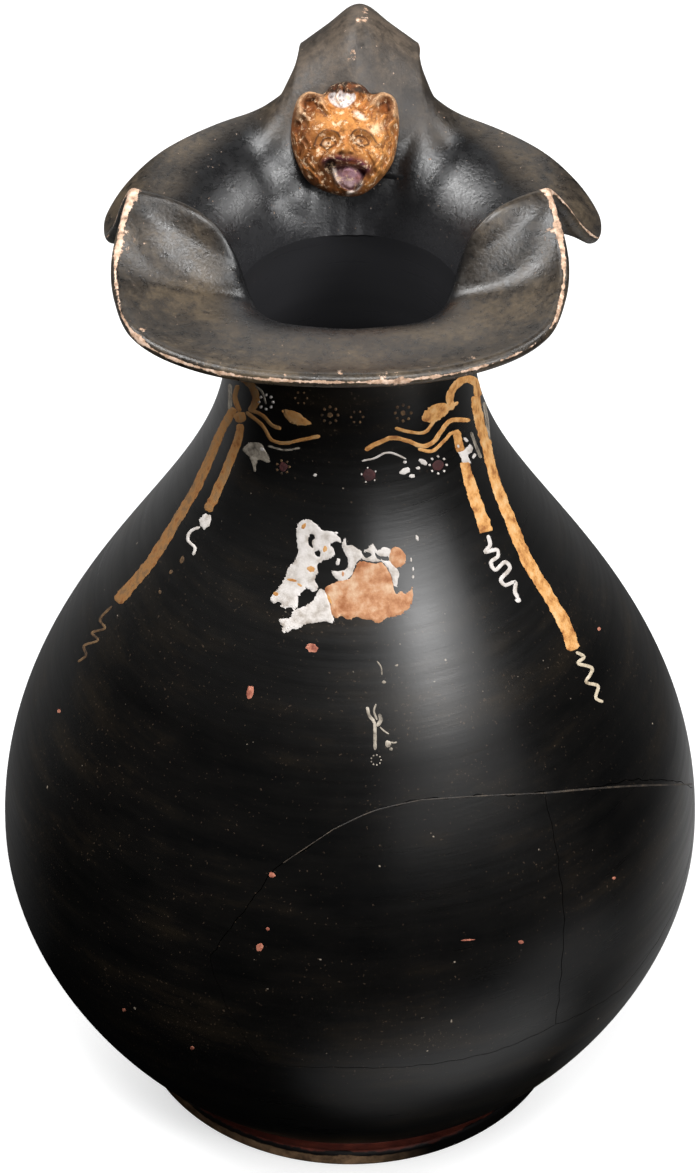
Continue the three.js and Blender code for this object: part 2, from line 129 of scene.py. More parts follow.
def curve(keys, share, closed=False, power=0.0):
    """Catmull-Rom: a cubic between keys b and c whose end slopes follow the keys around them, with
    each span weighed by its length to a power (0 is uniform, 0.5 is centripetal)."""
    keys = np.asarray(keys, float)
    spans = len(keys) if closed else len(keys) - 1
    place = np.clip(share, 0, 1) * spans
    start = np.minimum(place.astype(int), spans - 1)
    t = (place - start)[:, None]
    if closed:
        a, b, c, d = (keys[(start + step) % len(keys)] for step in (-1, 0, 1, 2))
    else:
        longer = np.vstack([2 * keys[0] - keys[1], keys, 2 * keys[-1] - keys[-2]])
        a, b, c, d = (longer[start + step] for step in range(4))
    u, v, w = (
        np.linalg.norm(q - p, axis=1, keepdims=True) ** power + 1e-9
        for p, q in ((a, b), (b, c), (c, d))
    )
    first = ((b - a) / u - (c - a) / (u + v) + (c - b) / v) * v
    second = ((c - b) / v - (d - b) / (v + w) + (d - c) / w) * v
    return (
        b + first * t + (3 * (c - b) - 2 * first - second) * t**2
        + (2 * (b - c) + first + second) * t**3
    )


def unit(vectors):
    """Each vector divided by its length."""
    return vectors / np.maximum(np.linalg.norm(vectors, axis=-1, keepdims=True), 1e-12)


def ramp(value, low, high):
    """0 below low, 1 above high, and 3t^2 - 2t^3 between."""
    t = np.clip((value - low) / (high - low), 0, 1)
    return t * t * (3 - 2 * t)


# %% [markdown]
# ## The outline of the pot
#
# A pot thrown on a wheel is one outline turned round an axis. Two Bezier arcs carry it from the
# base to the belly and up into the neck, and a short one flares under the mouth. With the outline
# kept as a table, any point of the wall is its azimuth and its height.

# %% The thrown outline
LOW = FOOT_HEIGHT + JOINT
LOWER_RISE = BELLY_HEIGHT - LOW
UPPER_RISE = NECK_HEIGHT - BELLY_HEIGHT
FLARE_RISE = MOUTH_JOINT_HEIGHT - NECK_HEIGHT
FLARE_SPREAD = MOUTH_JOINT_RADIUS - NECK_RADIUS
ARCS = [
    [
        (BASE_RADIUS, LOW),
        (BASE_RADIUS + LOWER_RISE * 0.221, LOW + LOWER_RISE * 0.209),
        (BELLY_RADIUS, BELLY_HEIGHT - LOWER_RISE * 0.379),
        (BELLY_RADIUS, BELLY_HEIGHT),
    ],
    [
        (BELLY_RADIUS, BELLY_HEIGHT),
        (BELLY_RADIUS, BELLY_HEIGHT + UPPER_RISE * 0.4275),
        (NECK_RADIUS, NECK_HEIGHT - UPPER_RISE * 0.3138),
        (NECK_RADIUS, NECK_HEIGHT),
    ],
    [
        (NECK_RADIUS, NECK_HEIGHT),
        (NECK_RADIUS, NECK_HEIGHT + FLARE_RISE * 0.36),
        (NECK_RADIUS + FLARE_SPREAD * 0.2, NECK_HEIGHT + FLARE_RISE * 0.72),
        (MOUTH_JOINT_RADIUS, MOUTH_JOINT_HEIGHT + JOINT),
    ],
]
share = np.linspace(0, 1, 400)
outline = np.vstack([bezier(arc, share)[(number > 0):] for number, arc in enumerate(ARCS)])
outline_run = np.vstack(
    [unit(bezier_slope(arc, share))[(number > 0):] for number, arc in enumerate(ARCS)]
)


def wall_radius(height):
    """Radius of the thrown wall at a height."""
    return np.interp(height, outline[:, 1], outline[:, 0])


def wall_normal(azimuth, height):
    """Outward normal: the outline's run turned by a quarter, then turned round the axis."""
    run = np.interp(height, outline[:, 1], outline_run[:, 0])
    rise = np.interp(height, outline[:, 1], outline_run[:, 1])
    return unit(np.stack([rise * np.sin(azimuth), -rise * np.cos(azimuth), -run], axis=-1))


def wall_point(azimuth, height, out=0.0):
    """Point on the wall at an azimuth from the front and a height, moved out along the normal."""
    radius = wall_radius(height)
    on_it = np.stack(
        [radius * np.sin(azimuth), -radius * np.cos(azimuth), height + 0 * azimuth], axis=-1
    )
    return on_it + wall_normal(azimuth, height) * np.asarray(out)[..., None]


print(f"outline: {len(outline)} points, widest {outline[:, 0].max():.1f} mm")

# %% [markdown]
# ## The camera
#
# The picture was taken from the front and 38 degrees above, from about a metre away. The camera
# comes first here because the painted ornament is placed by it: a ray from a pixel of the
# photograph meets the wall at one azimuth and height, and the slip is laid there.

# %% Camera and the ray of a pixel
EYE = np.array([0.0, -745.6, 722.1])
LOOK_DOWN = math.radians(38)
FOCAL_PIXELS = 4000
FRAME_WIDTH = 700
FRAME_HEIGHT = 1173
SENSOR = 36.0
camera_data = bpy.data.cameras.new("camera")
camera_data.sensor_fit = "VERTICAL"
camera_data.sensor_height = SENSOR
camera_data.lens = FOCAL_PIXELS / FRAME_HEIGHT * SENSOR
camera = bpy.data.objects.new("camera", camera_data)
camera.location = EYE * MM
camera.rotation_euler = (math.pi / 2 - LOOK_DOWN, 0, 0)
scene.collection.objects.link(camera)
scene.camera = camera


def on_wall(pixels):
    """Azimuth and height at which the pixels' rays meet the wall: the first place along each ray
    where the distance from the wall, measured level, is nothing, or else is least."""
    across = (pixels[:, 0] - FRAME_WIDTH / 2) / FOCAL_PIXELS
    down = (pixels[:, 1] - FRAME_HEIGHT / 2) / FOCAL_PIXELS
    sine, cosine = math.sin(LOOK_DOWN), math.cos(LOOK_DOWN)
    ray = np.stack([across, cosine - down * sine, -sine - down * cosine], axis=-1)
    reach = np.linspace(750, 1050, 400)
    point = EYE + reach[:, None, None] * ray
    gap = np.hypot(point[..., 0], point[..., 1]) - wall_radius(point[..., 2])
    meets = gap.min(axis=0) < 0
    step = np.where(meets, (gap < 0).argmax(axis=0), gap.argmin(axis=0))
    rows = np.arange(len(pixels))
    before, after = gap[step - 1, rows], gap[step, rows]
    share_of = np.where(meets, before / np.where(meets, before - after, 1), 1)
    found = reach[step - 1] + share_of * (reach[step] - reach[step - 1])
    point = EYE + found[:, None] * ray
    return np.arctan2(point[:, 0], -point[:, 1]), point[:, 2]


print("camera lens", round(camera_data.lens, 1), "mm")

# %% [markdown]
# ## Materials: small helpers
#
# Colours are written as the sRGB hex values that the eye reads, and one function turns them to the
# linear numbers that the renderer works with. One small function adds any node, with its settings,
# its inputs and, for a colour ramp, its stops, and gives the output that is wanted. A finish is then
# a list of patterns, and a loop lays one tone after the other over the first.

# %% Colour and node helpers
def linear(code):
    """Linear RGBA of an sRGB hex colour: c/12.92 below 0.04045, else ((c+0.055)/1.055)^2.4."""
    parts = [int(code[place:place + 2], 16) / 255 for place in (1, 3, 5)]
    return [c / 12.92 if c <= 0.04045 else ((c + 0.055) / 1.055) ** 2.4 for c in parts] + [1.0]


def plug(tree, node, inputs):
    """Sets a node's inputs, by name or in the node's own order. Each one is a number, a colour or
    another node's output."""
    for name, value in inputs.items() if isinstance(inputs, dict) else enumerate(inputs):
        if isinstance(value, bpy.types.NodeSocket):
            tree.links.new(value, node.inputs[name])
        else:
            node.inputs[name].default_value = value


def put(tree, kind, inputs=(), stops=(), out=0, **settings):
    """Adds one node with its settings and links, and gives one of its outputs."""
    node = tree.nodes.new("ShaderNode" + kind)
    for name, value in settings.items():
        setattr(node, name, value)
    plug(tree, node, inputs)
    if stops:
        while len(node.color_ramp.elements) < len(stops):
            node.color_ramp.elements.new(1.0)
        for element, (place, colour) in zip(node.color_ramp.elements, stops):
            element.position = place
            element.color = linear(colour)
    return node.outputs[out] if node.outputs else None


def start_material(name, roughness, ior=1.5):
    """A new material with its principled shader and its Object coordinates."""
    material = bpy.data.materials.new(name)
    material.use_nodes = True
    shader = material.node_tree.nodes["Principled BSDF"]
    plug(material.node_tree, shader, {"Roughness": roughness, "IOR": ior})
    place = put(material.node_tree, "TexCoord", out="Object")
    return material, material.node_tree, shader, place


# %% [markdown]
# ## Black gloss
#
# The jug's skin is a very fine, iron-rich clay slip that fires to a black glass. It is thin: where
# it lies thinnest the clay shows through as olive and brown clouds, and the wheel has left fine
# level lines that break the reflections. So the colour is nearly black with warm clouds some
# 45 mm wide, and the lines are noise stretched flat. Low on the belly, where the jug was set down
# and handled, the gloss has gone dull, so the height above the floor sets how strongly it mirrors.

# %% Finish: black gloss
# Painted light: a lighter grey laid on the inner side of the neck and down the mouth's throat.
THROAT_PAINTED_LIGHT = "#2b2b2d"


def make_black_gloss():
    """Clouds of thin gloss set the tone, the pits and the specks, and level lines the roughness."""
    material, tree, shader, place = start_material("black_gloss", 0.3)
    # Width of the patches in mm, detail, its roughness, and how much finer it is along each axis.
    cloud, streak, lines, brush, grain, dents, spots = (
        put(tree, "TexNoise", {
            "Vector": put(tree, "Mapping", {"Vector": place, "Scale": finer}),
            "Scale": 1000 / size, "Detail": detail, "Roughness": rough,
        })
        for size, detail, rough, finer in (
            (45, 5, 0.6, (1, 1, 1)), (30, 5, 0.65, (1, 1, 5)), (14, 4, 0.55, (0.4, 0.4, 9)),
            (7, 3, 0.55, (0.6, 0.6, 12)), (0.9, 3, 0.55, (1, 1, 1)), (0.7, 2, 0.55, (1, 1, 1)),
            (1.5, 0.5, 0.55, (1, 1, 1)),
        )
    )
    thin = put(tree, "Mix", {0: 0.5, 2: cloud, 3: streak})
    tone = put(tree, "ValToRGB", (thin,), stops=(
        (0.4, "#060606"), (0.52, "#0c0b0a"), (0.62, "#18140f"), (0.74, "#2b2318")))
    # Where the gloss is thin it is also pitted: ochre and grey specks of a few tenths of a mm.
    more_pits = put(tree, "MapRange", (thin, 0.45, 0.7, 0, 0.1))
    pits = put(tree, "Math", (dents, more_pits), operation="ADD")
    more_specks = put(tree, "MapRange", (thin, 0.4, 0.7, -0.06, 0.04))
    specks = put(tree, "Math", (spots, more_specks), operation="ADD")
    # The last layer is painted light: the lighter grey on the inner side of the neck.
    layers = (
        (put(tree, "MapRange", (pits, 0.7, 0.77, 0, 0.6)), "#4d4034"),
        (put(tree, "MapRange", (specks, 0.8, 0.83)), "#8d8274"),
        (put(tree, "Attribute", out="Fac", attribute_name="inside"), THROAT_PAINTED_LIGHT),
    )
    for share_of, code in layers:
        tone = put(tree, "Mix", {0: share_of, 6: tone, 7: linear(code)}, out=2, data_type="RGBA")
    uneven = put(tree, "Mix", {0: 0.5, 2: lines, 3: cloud})
    up = put(tree, "SeparateXYZ", (place,), out=2)
    belly = put(tree, "MapRange", (up, 0.163, 0.136, 0.72, 0.15))
    # Painted shade: under the mouth the gloss mirrors less, where the neck lies in shadow.
    under_the_lip = put(tree, "MapRange", (up, 0.196, 0.212, 0, 0.45))
    relief = put(tree, "Math", (lines, 0.5), operation="MULTIPLY")
    for value, weight in ((grain, 0.3), (brush, 0.35)):
        relief = put(tree, "Math", (value, weight, relief), operation="MULTIPLY_ADD")
    plug(tree, shader, {
        "Base Color": tone,
        "Roughness": put(tree, "MapRange", (uneven, 0.35, 0.65, 0.26, 0.36)),
        "Specular IOR Level": put(tree, "Math", (belly, under_the_lip), operation="SUBTRACT"),
        "Normal": put(tree, "Bump", {"Height": relief, "Strength": 0.16, "Distance": 0.2 * MM}),
    })
    return material


black_gloss = make_black_gloss()
print("made", black_gloss.name)

# %% [markdown]
# ## Worn brown gloss
#
# On the mouth and the handle the same slip has been rubbed by hands and by burial, so it is browner
# and duller, and on the edges it has gone altogether and the pale clay shows. Where it is worn is a
# matter of shape, so each mesh carries values from 0 to 1: "worn" for bare clay, "kept" for gloss
# that stayed black, "inside" for painted light down the throat, and "hand" for the duller, lighter
# brown of the handle. Mouth and handle share this one finish, so no edge shows where they join.

# %% Finish: brown gloss with worn edges
def make_brown_gloss():
    """Two brown ramps by "hand", black where it was kept, painted light inside, and clay where "worn"
    plus noise passes a half."""
    material, tree, shader, place = start_material("worn_brown_gloss", 0.35)
    # Width of the patches in mm, detail, and the detail's roughness.
    cloud, mottle, leather, blots, coarse, fine, nicks, grit = (
        put(tree, "TexNoise", {
            "Vector": place, "Scale": 1000 / size, "Detail": detail, "Roughness": rough})
        for size, detail, rough in (
            (20, 6, 0.65), (2.6, 8, 0.75), (0.8, 3, 0.55), (5, 8, 0.8), (8, 2, 0.55), (1.5, 6, 0.7),
            (0.8, 2, 0.55), (1.4, 5, 0.55),
        )
    )
    worn, unworn, within, hand = (
        put(tree, "Attribute", out="Fac", attribute_name=name)
        for name in ("worn", "kept", "inside", "hand"))
    spread = put(tree, "Mix", {0: 0.45, 2: cloud, 3: mottle})
    tone, hand_tone, clay = (
        put(tree, "ValToRGB", (value,), stops=stops) for value, stops in (
            (spread, ((0.41, "#161310"), (0.5, "#352e26"), (0.59, "#554939"))),
            (spread, ((0.41, "#231d18"), (0.5, "#3d352d"), (0.59, "#594d41"))),
            (grit, ((0.3, "#6b5444"), (0.46, "#b8967c"), (0.66, "#e2c6b1"))),
        )
    )
    blotch = put(tree, "MapRange", (blots, 0.48, 0.62, 0, 0.55))
    # Down the throat the gloss was never rubbed, and is still black.
    frayed = put(tree, "MapRange", (mottle, 0.35, 0.65, -0.15, 0.15))
    kept = put(tree, "MapRange", (put(tree, "Math", (unworn, frayed), operation="ADD"), 0.1, 0.9))
    both = put(tree, "Math", (coarse, fine), operation="ADD")
    patchy = put(tree, "MapRange", (both, 0.75, 1.25, -0.45, 0.45))
    ragged = put(tree, "MapRange", (put(tree, "Math", (worn, patchy), operation="ADD"), 0.5, 0.6))
    scratch = put(tree, "MapRange", (nicks, 0.72, 0.78, 0, 0.6))
    bare = put(tree, "Math", (ragged, scratch), operation="MAXIMUM")
    # The fourth layer is painted light down the throat.
    layers = (
        (blotch, linear("#13100e")), (hand, hand_tone), (kept, linear("#111112")),
        (within, linear(THROAT_PAINTED_LIGHT)), (bare, clay),
    )
    for share_of, over in layers:
        tone = put(tree, "Mix", {0: share_of, 6: tone, 7: over}, out=2, data_type="RGBA")
    rubbed = put(tree, "MapRange", (hand, 0, 1, 0.3, 0.48))
    less = put(tree, "Math", (rubbed, 0.27), operation="SUBTRACT")
    glassier = put(tree, "Math", (kept, less), operation="MULTIPLY")
    uneven = put(tree, "MapRange", (mottle, 0.35, 0.65, -0.06, 0.1))
    rough, relief = rubbed, leather
    for value, weight in ((glassier, -1), (uneven, 1), (bare, 0.3)):
        rough = put(tree, "Math", (value, weight, rough), operation="MULTIPLY_ADD")
    for value, weight in ((mottle, 1), (bare, -1.5)):
        relief = put(tree, "Math", (value, weight, relief), operation="MULTIPLY_ADD")
    plug(tree, shader, {
        "Base Color": tone, "Roughness": rough,
        "Normal": put(tree, "Bump", {"Height": relief, "Strength": 0.35, "Distance": 0.22 * MM}),
    })
    return material


brown_gloss = make_brown_gloss()
print("made", brown_gloss.name)

# %% [markdown]
# ## Slips and bare clay
#
# The ornament was painted over the fired gloss in thick slips: ochre, white and a dark red. They
# are matt, grainy and cracked, and they have flaked. Each is one material: a base tone, a paler and
# a darker cloud, and a dry, rough surface. The ochre slip also turns darker towards the jug's left,
# as painted shade.

# %% Finish: matt slips
def make_slip(name, dark, middle, light, patch_mm=3.0, roughness=0.75, left_shade_tone=None):
    """Matt slip. With a shade tone given, it goes over to that tone towards the jug's left, as painted
    shade on the side away from the key lamp.
    """
    material, tree, shader, place = start_material(name, roughness)
    cloud, grain = (
        put(tree, "TexNoise", {
            "Vector": place, "Scale": 1000 / size, "Detail": detail, "Roughness": rough})
        for size, detail, rough in ((patch_mm, 5, 0.6), (0.5, 3, 0.55)))
    tone = put(tree, "ValToRGB", (cloud,), stops=((0.33, dark), (0.5, middle), (0.68, light)))
    # Painted shade: the slip darkens towards the jug's left, away from the key lamp.
    if left_shade_tone:
        across = put(tree, "SeparateXYZ", (place,))
        to_the_left = put(tree, "MapRange", (across, 0, -0.035, 0, 0.75))
        frayed = put(tree, "MapRange", (cloud, 0.4, 0.6, -0.25, 0.1))
        painted_left_shade = put(tree, "Math", (to_the_left, frayed), operation="ADD")
        tone = put(tree, "Mix", {0: painted_left_shade, 6: tone, 7: linear(left_shade_tone)}, out=2, data_type="RGBA")
    plug(tree, shader, {
        "Base Color": tone,
        "Normal": put(tree, "Bump", {"Height": grain, "Strength": 0.4, "Distance": 0.2 * MM}),
    })
    return material


# The ochre slip carries painted shade towards the jug's left.
ochre_slip = make_slip("ochre_slip", "#9a612e", "#d49a58", "#ecbf86", 2.4, left_shade_tone="#50331a")
dim_slip = make_slip("worn_ochre_slip", "#2b2014", "#5a4229", "#7d6242", 2.0)
white_slip = make_slip("white_slip", "#a69b90", "#cfc8c2", "#e0dad6", 3.0)
grey_slip = make_slip("worn_white_slip", "#4f4840", "#8d8477", "#b3a99b", 2.0)
tail_slip = make_slip("cream_slip", "#8d7d66", "#c6b79e", "#dcd0bc", 2.0)
flesh_slip = make_slip("flesh_ochre_slip", "#985c34", "#bd8861", "#d3b293", 3.0)
red_slip = make_slip("dark_red_slip", "#2a1214", "#3e1a1b", "#552524", 3.0)
chip_clay = make_slip("chipped_clay", "#6e3527", "#a05f4a", "#c98c74", 1.5)
scar_fill = make_slip("mending_fill", "#151210", "#2b241d", "#4a3f33", 2.5, 0.55)
print("made 9 slips")

# %% [markdown]
# ## From points to a piece
#
# Every surface ends here: its points and faces go into a mesh at the origin, in metres, with the
# faces turned outwards. A solid with an inside and an outside is checked by its volume, which comes
# out negative when the faces look in.

# %% Grids, solids and pieces
def grid_faces(rows, columns, around=True, looped=False):
    """Quads between neighbouring points of a grid, wrapped round its columns and, if looped, rows."""
    row = np.arange(rows if looped else rows - 1)[:, None]
    column = np.arange(columns if around else columns - 1)[None, :]
    after, above = (column + 1) % columns, (row + 1) % rows
    corners = [
        row * columns + column, row * columns + after,
        above * columns + after, above * columns + column,
    ]
    return np.stack(corners, axis=-1).reshape(-1, 4)


def halved(quads):
    """Each quad as two triangles."""
    return np.vstack([quads[:, [0, 1, 2]], quads[:, [0, 2, 3]]])


def outward(points, faces):
    """Turns all faces round if the volume they enclose, the sum of a.(b x c), is negative."""
    a, b, c, d = (points[faces[:, corner]] for corner in (0, 1, 2, -1))
    volume = (a * np.cross(b, c)).sum() + (a * np.cross(c, d)).sum()
    return faces[:, ::-1] if volume < 0 else faces


def make_piece(name, points, faces, finish, slot, replaced=(), normals=None, sharp=40, **layers):
    """A named object from points in millimetres, riding on the jug's one body."""
    mesh = bpy.data.meshes.new(name)
    mesh.from_pydata((points * MM).tolist(), [], faces.tolist())
    mesh.shade_smooth()
    if normals is None:
        mesh.set_sharp_from_angle(angle=math.radians(sharp))
    else:
        mesh.normals_split_custom_set(normals.tolist())
    for layer, values in layers.items():
        is_colour = values.ndim == 2
        made = mesh.attributes.new(layer, "FLOAT_COLOR" if is_colour else "FLOAT", "POINT")
        made.data.foreach_set("color" if is_colour else "value", values.astype(np.float32).ravel())
    mesh.materials.append(finish)
    piece = bpy.data.objects.new(name, mesh)
    scene.collection.objects.link(piece)
    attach(piece, "root")
    if replaced:
        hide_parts(*replaced)
    print(f"{name}: {len(points)} points, {len(faces)} faces")
    return piece


def turned(profile, count):
    """Rings of a (radius, height) profile turned round the axis, from the front."""
    turn = np.linspace(0, 2 * math.pi, count, endpoint=False)
    radius, height = profile[:, :1], profile[:, 1:]
    return np.stack([radius * np.sin(turn), -radius * np.cos(turn), height + 0 * turn], axis=-1)


# %% [markdown]
# ## The body and its mended pieces
#
# The lower front of the wall was broken and set back in, as two sherds. One fine grid of azimuth
# and height covers the whole wall. Grid points next to a crack are moved onto it, and each triangle
# then belongs to the wall or to one sherd. Every part gets its inner side and its broken edges, and
# backs off a little from the crack, so the crack is a true gap and not a drawn line.

# %% Where the cracks run
# Each key is an azimuth in degrees and a height as a share of the belly's height.
FRONT_CRACK = [
    (39.1, 1.751), (25.8, 1.817), (13.8, 1.847), (4.7, 1.829), (-2.9, 1.779), (-13.5, 1.643),
    (-20.2, 1.413), (-22.8, 1.306), (-21.7, 1.224), (-16.1, 0.99), (-13.8, 0.904), (-0.9, 0.923),
    (11.1, 0.907), (24.2, 0.893), (34.5, 0.906), (35.3, 1.12), (37.1, 1.344), (38.3, 1.567),
]
FLANK_CRACK = [
    (39.1, 1.751), (38.3, 1.567), (37.1, 1.344), (35.3, 1.12), (34.5, 0.906), (50, 0.857),
    (66, 0.943), (78, 1.06), (83.5, 1.214), (76, 1.365), (68.6, 1.485), (60, 1.597), (49, 1.686),
]


def crack_line(keys, step=1.2):
    """The crack as close points (length round the belly, height), each moved by sines of its own
    place, so that two cracks that share a stretch still share it."""
    keys = np.array(keys) * [BELLY_RADIUS * math.pi / 180, BELLY_HEIGHT]
    parts = []
    for first, second in zip(keys, np.roll(keys, -1, axis=0)):
        count = max(2, int(np.linalg.norm(second - first) / step))
        parts.append(first + np.linspace(0, 1, count, endpoint=False)[:, None] * (second - first))
    line = np.vstack(parts)
    across, height = line[:, 0], line[:, 1]
    line[:, 0] += 0.22 * np.sin(0.8 * height + 0.5 * across) + 0.12 * np.sin(2.3 * height)
    line[:, 1] += 0.22 * np.sin(0.9 * across - 0.4 * height) + 0.12 * np.sin(2.6 * across)
    return line


# %% Distance from a crack, and the side of it
def nearest_on(line, points):
    """Foot on a closed line, distance from it, and the inward normal of its nearest edge."""
    run = np.roll(line, -1, axis=0) - line
    along = ((points[:, None] - line) * run).sum(-1) / (run**2).sum(-1)
    foot = line + np.clip(along, 0, 1)[..., None] * run
    away = np.linalg.norm(points[:, None] - foot, axis=-1)
    edge = away.argmin(1)
    rows = np.arange(len(points))
    inward = unit(np.stack([-run[edge, 1], run[edge, 0]], axis=-1))
    return foot[rows, edge], away[rows, edge], inward


def inside(line, points):
    """Even-odd rule: an inside point's level ray crosses a closed line an odd number of times."""
    ends = np.roll(line, -1, axis=0)
    x, y = points[:, :1], points[:, 1:]
    crosses = (line[:, 1] > y) != (ends[:, 1] > y)
    rise = np.where(ends[:, 1] == line[:, 1], 1e-9, ends[:, 1] - line[:, 1])
    at = line[:, 0] + (y - line[:, 1]) / rise * (ends[:, 0] - line[:, 0])
    return (crosses & (x < at)).sum(1) % 2 == 1


front_line = crack_line(FRONT_CRACK)
flank_line = crack_line(FLANK_CRACK)
print("crack points:", len(front_line), len(flank_line))


# %% The grid of the wall, snapped to the cracks
WALL_COLUMNS = 300
base_heights = LOW - np.array([40.0, 30.0, 20.0, 10.0])
arc_heights = [np.linspace(LOW, BELLY_HEIGHT, 40)[:-1], np.linspace(BELLY_HEIGHT, NECK_JOINT_HEIGHT, 82)]
heights = np.concatenate([base_heights, *arc_heights])
turn = np.linspace(-math.pi, math.pi, WALL_COLUMNS, endpoint=False)
plane = np.stack(np.meshgrid(turn * BELLY_RADIUS, heights), axis=-1).reshape(-1, 2)
near_cracks = (plane[:, 0] > -60) & (plane[:, 0] < 140) & (plane[:, 1] > 40) & (plane[:, 1] < 150)
foot = plane.copy()
away = np.full(len(plane), 99.0)
inward = {name: np.zeros_like(plane) for name in ("front", "flank")}
for name, line in (("front", front_line), ("flank", flank_line)):
    on_line, distance, normal = nearest_on(line, plane[near_cracks])
    rows = np.flatnonzero(near_cracks)
    closer = distance < away[rows]
    foot[rows[closer]] = on_line[closer]
    away[rows[closer]] = distance[closer]
    inward[name][rows] = normal
reach = BELLY_RADIUS * 2 * math.pi / WALL_COLUMNS / 2 + 0.02
snapped = away < reach
plane[snapped] = foot[snapped]
quads = grid_faces(len(heights), WALL_COLUMNS)
a, b, c, d = quads.T
straight = (snapped[a] & snapped[c]) | ~(snapped[b] & snapped[d])
triangles = np.vstack([
    np.stack([a, b, c], axis=1)[straight], np.stack([a, c, d], axis=1)[straight],
    np.stack([a, b, d], axis=1)[~straight], np.stack([b, c, d], axis=1)[~straight],
])
# A triangle across the seam at the back counts as lying on it.
middle = plane[triangles].mean(1)
middle[np.ptp(plane[triangles][..., 0], axis=1) > BELLY_RADIUS, 0] = -BELLY_RADIUS * math.pi
in_front = inside(front_line, middle)
in_flank = inside(flank_line, middle) & ~in_front
print("wall triangles:", len(triangles), "front:", in_front.sum(), "flank:", in_flank.sum())


# %% Wall pieces with an inside, an outside and broken edges
def thicken(outer, inner, faces, outer_normal=None):
    """A closed solid between two layers that share triangles, with a strip along each open edge.
    Gives its points, its faces and one normal per face corner."""
    count = len(outer)
    edges = np.vstack([faces[:, [0, 1]], faces[:, [1, 2]], faces[:, [2, 0]]])
    key = edges[:, 0] * count + edges[:, 1]
    rim = edges[~np.isin(key, edges[:, 1] * count + edges[:, 0])]
    first, second = rim.T
    strips = np.vstack([
        np.stack([second, first, first + count], axis=1),
        np.stack([second, first + count, second + count], axis=1),
    ])
    points = np.vstack([outer, inner])
    solid = np.vstack([faces, faces[:, ::-1] + count, strips])
    used, solid = np.unique(solid, return_inverse=True)
    solid = solid.reshape(-1, 3)
    if outer_normal is None:
        return points[used], solid, None
    both = np.vstack([outer_normal, -outer_normal])[used]
    smooth = both[solid[:2 * len(faces)]]
    a, b, c = (points[used][solid[2 * len(faces):, corner]] for corner in range(3))
    flat = np.repeat(unit(np.cross(b - a, c - a))[:, None], 3, axis=1)
    return points[used], solid, np.vstack([smooth.reshape(-1, 3), flat.reshape(-1, 3)])


# %% The body and its two sherds
def wall_layer(place, out):
    """Points of the wall for (length round the belly, height), and flat rings below its base."""
    azimuth = place[:, 0] / BELLY_RADIUS
    points = wall_point(azimuth, np.maximum(place[:, 1], LOW), out)
    floor = LOW if out == 0 else LOW + FLOOR_THICKNESS
    below = place[:, 1] < LOW - 0.01
    share_of = np.clip((place[:, 1] - base_heights[0]) / (LOW - base_heights[0]), 0, 1)
    points[:, :2] *= np.where(below, share_of, 1)[:, None]
    points[:, 2] = np.where(below, floor, np.maximum(points[:, 2], floor))
    points[:, 2] = np.minimum(points[:, 2], NECK_JOINT_HEIGHT)
    return points


CRACK_GAP = 0.18


def wall_piece(name, chosen, shift, finish, replaced):
    """One part of the wall: its triangles, with the lowest ring drawn to one point, backed off from
    the cracks by half their gap."""
    faces = triangles[chosen]
    pole = np.arange(len(plane))
    pole[:WALL_COLUMNS] = 0
    faces = pole[faces]
    first, second, third = faces.T
    faces = faces[(first != second) & (second != third) & (third != first)]
    place = plane + np.where(snapped[:, None], shift * CRACK_GAP / 2, 0)
    azimuth = place[:, 0] / BELLY_RADIUS
    normal = wall_normal(azimuth, np.maximum(place[:, 1], LOW))
    normal[place[:, 1] < LOW - 0.01] = (0, 0, -1)
    points, solid, corners = thicken(wall_layer(place, 0), wall_layer(place, -WALL), faces, normal)
    return make_piece(name, points, solid, finish, "black_glaze", [replaced], corners)


rows = np.flatnonzero(near_cracks & snapped)
front_away, flank_away = (nearest_on(line, plane[rows])[1] for line in (front_line, flank_line))
by_flank = rows[flank_away < front_away]
outwards = -inward["front"]
outwards[by_flank] = -inward["flank"][by_flank]
wall_piece("body_wall_fine", ~in_front & ~in_flank, outwards, black_gloss, "body_wall")
wall_piece("front_sherd_fine", in_front, inward["front"], black_gloss, "front_sherd")
wall_piece("flank_sherd_fine", in_flank, inward["flank"], black_gloss, "flank_sherd")

# %% [markdown]
# ## Neck and foot
#
# Both are plain turned rings. The neck carries the outline on, with the wall's thickness inside,
# and meets the body without a step, as the potter smoothed the joint over. The foot was thrown
# apart: its corners are softened by small arcs. Its bands of maroon slip, black gloss and bare clay
# are set by the height above the floor. Towards the right the bare clay turns black, and all the
# bands are painted darker still and less shiny, as painted shade.

# %% The neck
TURNED_COLUMNS = 240


def make_neck():
    """Turned ring: the outline outside, and inside the outline moved in by the wall, which grows an
    eighth thicker towards the body's joint."""
    height = np.linspace(NECK_JOINT_HEIGHT, MOUTH_JOINT_HEIGHT + JOINT, 26)
    thicker = 1 + 0.12 * ramp(height, NECK_JOINT_HEIGHT + 9, NECK_JOINT_HEIGHT)
    outer = np.stack([wall_radius(height), height], axis=1)
    inner = np.stack([wall_radius(height) - WALL * thicker, height], axis=1)
    rings = turned(np.vstack([outer, inner[::-1]]), TURNED_COLUMNS)
    faces = grid_faces(*rings.shape[:2], looped=True)
    points = rings.reshape(-1, 3)
    # Painted light: the inner side gets the lighter grey, more of it lower down.
    within = np.repeat([0.0, 1.0], len(points) // 2)
    within *= 0.75 + 0.25 * ramp(points[:, 2], MOUTH_JOINT_HEIGHT, MOUTH_JOINT_HEIGHT - 6)
    return make_piece("neck_fine", points, outward(points, faces), black_gloss, "black_glaze", ["neck"],
                      inside=within)


make_neck()


